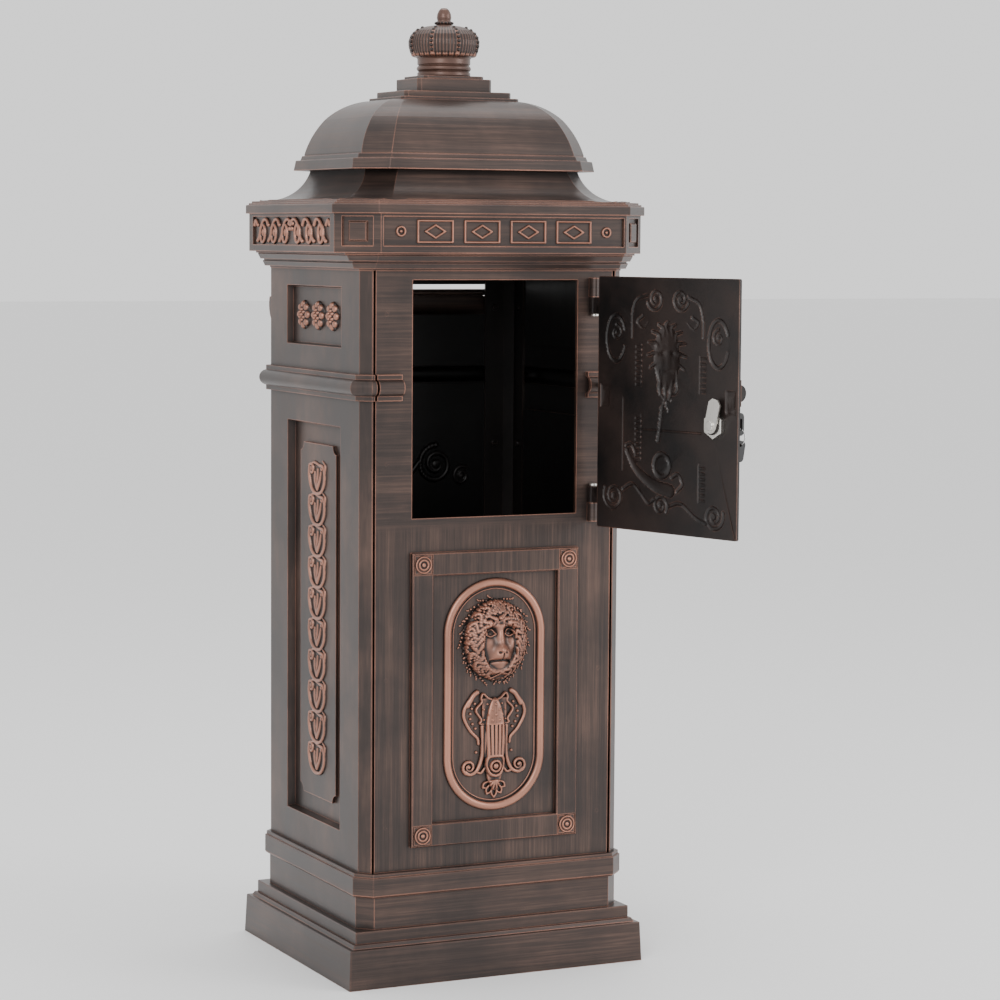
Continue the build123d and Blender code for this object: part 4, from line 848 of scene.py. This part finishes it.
class Finish:
    """A material with a Principled shader and one way to add nodes."""

    def __init__(self, name):
        self.material = bpy.data.materials.new(name)
        self.material.use_nodes = True
        self.tree = self.material.node_tree
        self.shader = self.tree.nodes["Principled BSDF"]

    def node(self, kind, settings=None, inputs=None, output=0):
        made = self.tree.nodes.new(kind)
        for key, value in (settings or {}).items():
            setattr(made, key, value)
        for key, value in (inputs or {}).items():
            self.feed(made.inputs[key], value)
        return Signal(self, made.outputs[output])

    def feed(self, socket, value):
        if isinstance(value, Signal):
            self.tree.links.new(value.socket, socket)
        else:
            socket.default_value = value

    def set(self, **inputs):
        for key, value in inputs.items():
            self.feed(self.shader.inputs[key.replace("_", " ")], value)

    def place(self):
        return self.node("ShaderNodeTexCoord", output="Object")

    def noise(self, stretch, detail=3.0, rough=0.6, shift=(0, 0, 0)):
        """Noise whose grain has its own size along X, Y and Z, in grains per metre."""
        mapped = {"Vector": self.place(), "Scale": stretch, "Location": shift}
        spot = self.node("ShaderNodeMapping", None, mapped)
        return self.node("ShaderNodeTexNoise", None, {"Vector": spot, "Scale": 1.0, "Detail": detail,
                                                      "Roughness": rough})

    def blend(self, mask, first, second):
        """Colour that goes from first to second as the mask goes from 0 to 1."""
        return self.node("ShaderNodeMix", {"data_type": "RGBA"}, {0: mask, 6: first, 7: second}, output=2)

    def bump(self, height, depth, strength=1.0):
        return self.node("ShaderNodeBump", None, {"Height": height, "Distance": depth, "Strength": strength})

    def axis(self, name):
        return self.node("ShaderNodeSeparateXYZ", None, {0: self.place()}, output=name)

    def edge(self, radius):
        """1 along sharp edges: the rounded normal turned away from the true one."""
        rounded = self.node("ShaderNodeBevel", {"samples": 6}, {"Radius": radius})
        true = self.node("ShaderNodeNewGeometry", output="Normal")
        match = self.node("ShaderNodeVectorMath", {"operation": "DOT_PRODUCT"}, {0: rounded, 1: true},
                          output="Value")
        return (1 - match).step(0.01, 0.16)

    def hollow(self, reach):
        """1 deep in corners and grooves, from ambient occlusion: used to paint shade in them, and highlight
        on open crests.
        """
        open_air = self.node("ShaderNodeAmbientOcclusion", {"samples": 6}, {"Distance": reach}, output="AO")
        return (1 - open_air).step(0.18, 0.75)


# %% [markdown]
# The bronze is built in layers, in the order in which it was really made. First a dark brown ground
# with cloudy changes, then a paler brushed coat that follows the stroke of the brush, then copper where
# it is rubbed: on edges, and on the crests of the ornament. Grooves and corners are painted dark from an
# ambient-occlusion mask: partly the dark lacquer that stays in them, and partly painted shade.

# %% Bronze
def colour(red, green, blue):
    return (red, green, blue, 1.0)


darkest = colour(0.007, 0.005, 0.004)
ground = colour(0.022, 0.014, 0.012)
brushed = colour(0.108, 0.062, 0.046)
copper = colour(0.45, 0.205, 0.140)
across_stroke = (9.0, 9.0, 380.0)
upright_stroke = (380.0, 380.0, 9.0)
no_stroke = (55.0, 55.0, 55.0)
opening_sill = 0.478


def brush(finish, stroke):
    """Fine and wide brush marks along one direction."""
    fine = finish.noise(stroke, detail=4.0, rough=0.70)
    wide = finish.noise([value * 0.22 for value in stroke], detail=4.0, shift=(3.1, 1.7, 5.3))
    return fine.step(0.44, 0.76) * 0.50 + wide.step(0.46, 0.74) * 0.32


def inner_side(finish, axis):
    """1 on the faces of a wall that look back at the middle of the pillar."""
    facing = finish.node("ShaderNodeNewGeometry", output="Normal")
    lean = finish.node("ShaderNodeSeparateXYZ", None, {0: facing}, output=axis) * finish.axis(axis)
    return (lean * -20.0).clamp().step(0.3, 0.6)


def bronze(name, strokes, coat=1.0, worn=1.0, ornament=False, shine=0.38, wall_axis=None):
    """Strokes is one brush direction, or two: above and below the sill of the opening."""
    finish = Finish(name)
    clouds = finish.noise((8.0, 8.0, 8.0), detail=4.0)
    marks = brush(finish, strokes[0])
    if len(strokes) > 1:
        above = finish.axis("Z").step(opening_sill - 0.004, opening_sill + 0.004)
        marks = marks * above + brush(finish, strokes[1]) * (1 - above)
    grain = finish.noise((900.0, 900.0, 900.0), detail=2.0)
    # Painted shade: ambient occlusion marks grooves and corners, which are darkened and kept free of brushed
    # coat and copper.
    groove_shade = finish.hollow(0.010)
    lacquer = ((marks * (0.45 + 0.9 * clouds.step(0.36, 0.66)) + clouds.step(0.42, 0.72) * 0.28) * coat
               * (1 - groove_shade)).clamp()
    rub = finish.edge(0.0020) * (0.35 + 0.65 * clouds.step(0.34, 0.58)) * (1 - groove_shade)
    if ornament:
        raised = finish.node("ShaderNodeAttribute", {"attribute_name": "raised"}, output="Fac")
        rub = raised.step(0.25, 0.80) * (0.55 + 0.30 * clouds.step(0.3, 0.6))
        lacquer = lacquer * raised.step(0.0, 0.4)
    rub = (rub * worn).clamp()
    tint = finish.blend(lacquer, ground, brushed)
    # Painted shade: grooves and corners go towards the darkest colour, partly the dark lacquer kept there.
    tint = finish.blend(groove_shade * 0.85, tint, darkest)
    tint = finish.blend(rub, tint, copper)
    if wall_axis:
        tint = finish.blend(inner_side(finish, wall_axis), tint, colour(0.004, 0.0035, 0.0035))
    finish.set(Base_Color=tint, Roughness=shine + 0.14 * (1 - rub) * marks + 0.12 * groove_shade,
               Metallic=0.5 + 0.35 * rub, Normal=finish.bump(marks * 0.6 + grain * 0.4, 0.00030, 0.5))
    finish.shader.inputs["Coat Weight"].default_value = 0.25
    finish.shader.inputs["Coat Roughness"].default_value = 0.25
    return finish.material


bronze_across = bronze("bronze_brushed_across", [across_stroke])
bronze_panel = bronze("bronze_panel", [across_stroke, upright_stroke], wall_axis="Y")
# Painted sheen: the sides get a paler brushed coat (coat 1.25), so they read lighter, as a lit side does;
# their brush also runs another way.
bronze_side_sheen = bronze("bronze_side_sheen", [(70.0, 20.0, 6.0)], coat=1.25, worn=0.85, shine=0.42, wall_axis="X")
bronze_ornament = bronze("bronze_ornament", [no_stroke], ornament=True)
print("bronzes:", [material.name for material in bpy.data.materials if material.name.startswith("bronze")])

# %% [markdown]
# The inside and the door casting are sprayed near-black; their edges take a little brown, partly wear and
# partly painted highlight, and the open crests of their relief take a brown painted highlight.
# The lock's cam and nut are bright zinc, the keys nickel, and the key heads moulded black plastic.

# %% Other finishes
def inner_black(name, brown):
    finish = Finish(name)
    clouds = finish.noise((14.0, 14.0, 14.0), detail=4.0)
    grain = finish.noise((700.0, 700.0, 700.0), detail=2.0)
    # Painted highlight: open crests, found by ambient occlusion, are tinted brown.
    crest_highlight = 1 - finish.hollow(0.008)
    # Brown on the edges is partly wear and partly painted highlight; brown on the crests is painted
    # highlight.
    worn = (finish.edge(0.002).biggest(crest_highlight * 0.07) * clouds.step(0.30, 0.62) * brown).clamp()
    soot, paint_black = colour(0.006, 0.005, 0.005), colour(0.016, 0.012, 0.011)
    tint = finish.blend(clouds.step(0.35, 0.75) * 0.5, soot, paint_black)
    tint = finish.blend(worn, tint, colour(0.17, 0.085, 0.060))
    finish.set(Base_Color=tint, Roughness=0.30 + 0.14 * clouds, Metallic=0.25,
               Normal=finish.bump(grain * 0.6 + clouds * 0.4, 0.0004, 0.5))
    return finish.material


def bright_steel(name, tone, rough, stroke):
    finish = Finish(name)
    lines = finish.noise(stroke, detail=3.0)
    worn = finish.edge(0.0006)
    pale = colour(*[value * 1.25 for value in tone])
    tint = finish.blend(lines.step(0.3, 0.7) * 0.5 + worn * 0.5, colour(*tone), pale)
    finish.set(Base_Color=tint, Roughness=rough + 0.12 * lines, Metallic=1.0,
               Normal=finish.bump(lines, 0.00012, 0.4))
    return finish.material


def moulded_plastic(name):
    finish = Finish(name)
    grain = finish.noise((1500.0, 1500.0, 1500.0), detail=2.0)
    worn = finish.edge(0.0008) * 0.5
    tint = finish.blend(worn, colour(0.012, 0.012, 0.013), colour(0.045, 0.045, 0.047))
    finish.set(Base_Color=tint, Roughness=0.36 + 0.16 * grain, Normal=finish.bump(grain, 0.00008, 0.5))
    return finish.material


black_inside = inner_black("black_inside", 0.15)
black_door = inner_black("black_door_back", 1.0)
zinc = bright_steel("bright_zinc", (0.62, 0.60, 0.56), 0.24, (700.0, 700.0, 60.0))
nickel = bright_steel("nickel_key", (0.66, 0.66, 0.66), 0.16, (500.0, 500.0, 500.0))
plastic = moulded_plastic("black_key_plastic")

# %% [markdown]
# Now each node of the frame and each piece gets its finish. A new piece has one material slot, and
# a node keeps the slots that it came with.

# %% Give every node and piece its finish
def paint(piece, material):
    piece.data.materials.clear()
    piece.data.materials.append(material)


def paint_node(node, material):
    for slot in bpy.data.objects[node].material_slots:
        slot.material = material


across_nodes = ("base_plinth", "ground_plate", "cornice", "roof_skirt", "dome_cap", "finial_plinth")
for node in across_nodes:
    paint_node(node, bronze_across)
for node in ("front_panel", "back_panel"):
    paint_node(node, bronze_panel)
for node in ("side_panel_left", "side_panel_right"):
    paint_node(node, bronze_side_sheen)
steel_nodes = ("lock_nut", "lock_cam", "lock_cam_screw", "finial_stud", "finial_washer", "finial_nut",
               "door_hinge_pin_upper", "door_hinge_pin_lower", "flap_pins", "ground_plate_screws")
for node in steel_nodes:
    paint_node(node, zinc)
for node in ("key_blade", "key_ring", "spare_key_blade", "lock_plug"):
    paint_node(node, nickel)
for node in ("key_head", "spare_key_head"):
    paint_node(node, plastic)
black_nodes = ("floor_plate", "corner_angle_front_left", "corner_angle_front_right", "corner_angle_back_left",
               "corner_angle_back_right", "lock_barrel", "panel_screws", "floor_bolts", "floor_nuts",
               "cornice_bolts", "cornice_nuts", "skirt_screws", "dome_screws")
for node in black_nodes:
    paint_node(node, black_inside)
paint_node("mail_flap", bronze_across)
for piece in dressed:
    paint(piece, bronze_ornament)
paint(door_casting, black_door)
for piece in dressed:
    if piece.name == "scrolls_inside":
        paint(piece, black_inside)

# %% [markdown]
# A plain pale floor, a large soft light from the front left, a weaker one from the right and a soft
# one from above show the relief without hard shadows. The camera stands where a long lens sees
# the pillar's front and left side, with the door open.

# %% Floor, light and camera
bpy.ops.object.select_all(action="DESELECT")
bpy.ops.mesh.primitive_plane_add(size=60)
floor = bpy.context.object
floor.name = floor.data.name = "floor"
pale = Finish("pale_floor")
speckle = pale.noise((30.0, 30.0, 30.0))
paler, darker = colour(0.86, 0.86, 0.86), colour(0.80, 0.80, 0.80)
pale.set(Base_Color=pale.blend(speckle * 0.2, paler, darker), Roughness=0.7)
paint(floor, pale.material)

world = bpy.data.worlds.new("studio")
bpy.context.scene.world = world
world.use_nodes = True
world.node_tree.nodes["Background"].inputs["Color"].default_value = colour(1.0, 1.0, 1.0)
world.node_tree.nodes["Background"].inputs["Strength"].default_value = 1.25


def softbox(name, place, target, size, power):
    """An area light aimed at a point."""
    lamp = bpy.data.lights.new(name, "AREA")
    lamp.shape = "RECTANGLE"
    lamp.size, lamp.size_y = size
    lamp.energy = power
    light = bpy.data.objects.new(name, lamp)
    light.location = place
    light.rotation_euler = (Vector(target) - Vector(place)).to_track_quat("-Z", "Y").to_euler()
    bpy.context.scene.collection.objects.link(light)


softbox("key_light", (-2.2, -2.6, 2.0), (0, 0, 0.55), (1.6, 2.2), 62)
softbox("fill_light", (2.4, -2.2, 1.4), (0, 0, 0.6), (1.4, 2.0), 40)
softbox("top_light", (0.2, 0.3, 2.8), (0, 0, 0.6), (1.6, 1.6), 22)

azimuth, lowered, roll = math.radians(-25.59), math.radians(5.02), math.radians(0.39)
level = math.cos(lowered)
back = Vector((math.sin(azimuth) * level, -math.cos(azimuth) * level, math.sin(lowered)))
level_right = (-back).cross(Vector((0, 0, 1))).normalized()
level_up = level_right.cross(-back)
right = math.cos(roll) * level_right + math.sin(roll) * level_up
up = math.cos(roll) * level_up - math.sin(roll) * level_right
lens = bpy.data.cameras.new("camera")
lens.lens = 108.6
lens.sensor_width = 36
camera = bpy.data.objects.new("camera", lens)
turned = Matrix((right, up, back)).transposed().to_4x4()
camera.matrix_world = Matrix.Translation((-1.35898, -2.98522, 0.78208)) @ turned
bpy.context.scene.collection.objects.link(camera)
bpy.context.scene.camera = camera
print("camera at", [round(value, 3) for value in camera.location])

# %% Finish
print("pieces added:", len(dressed))
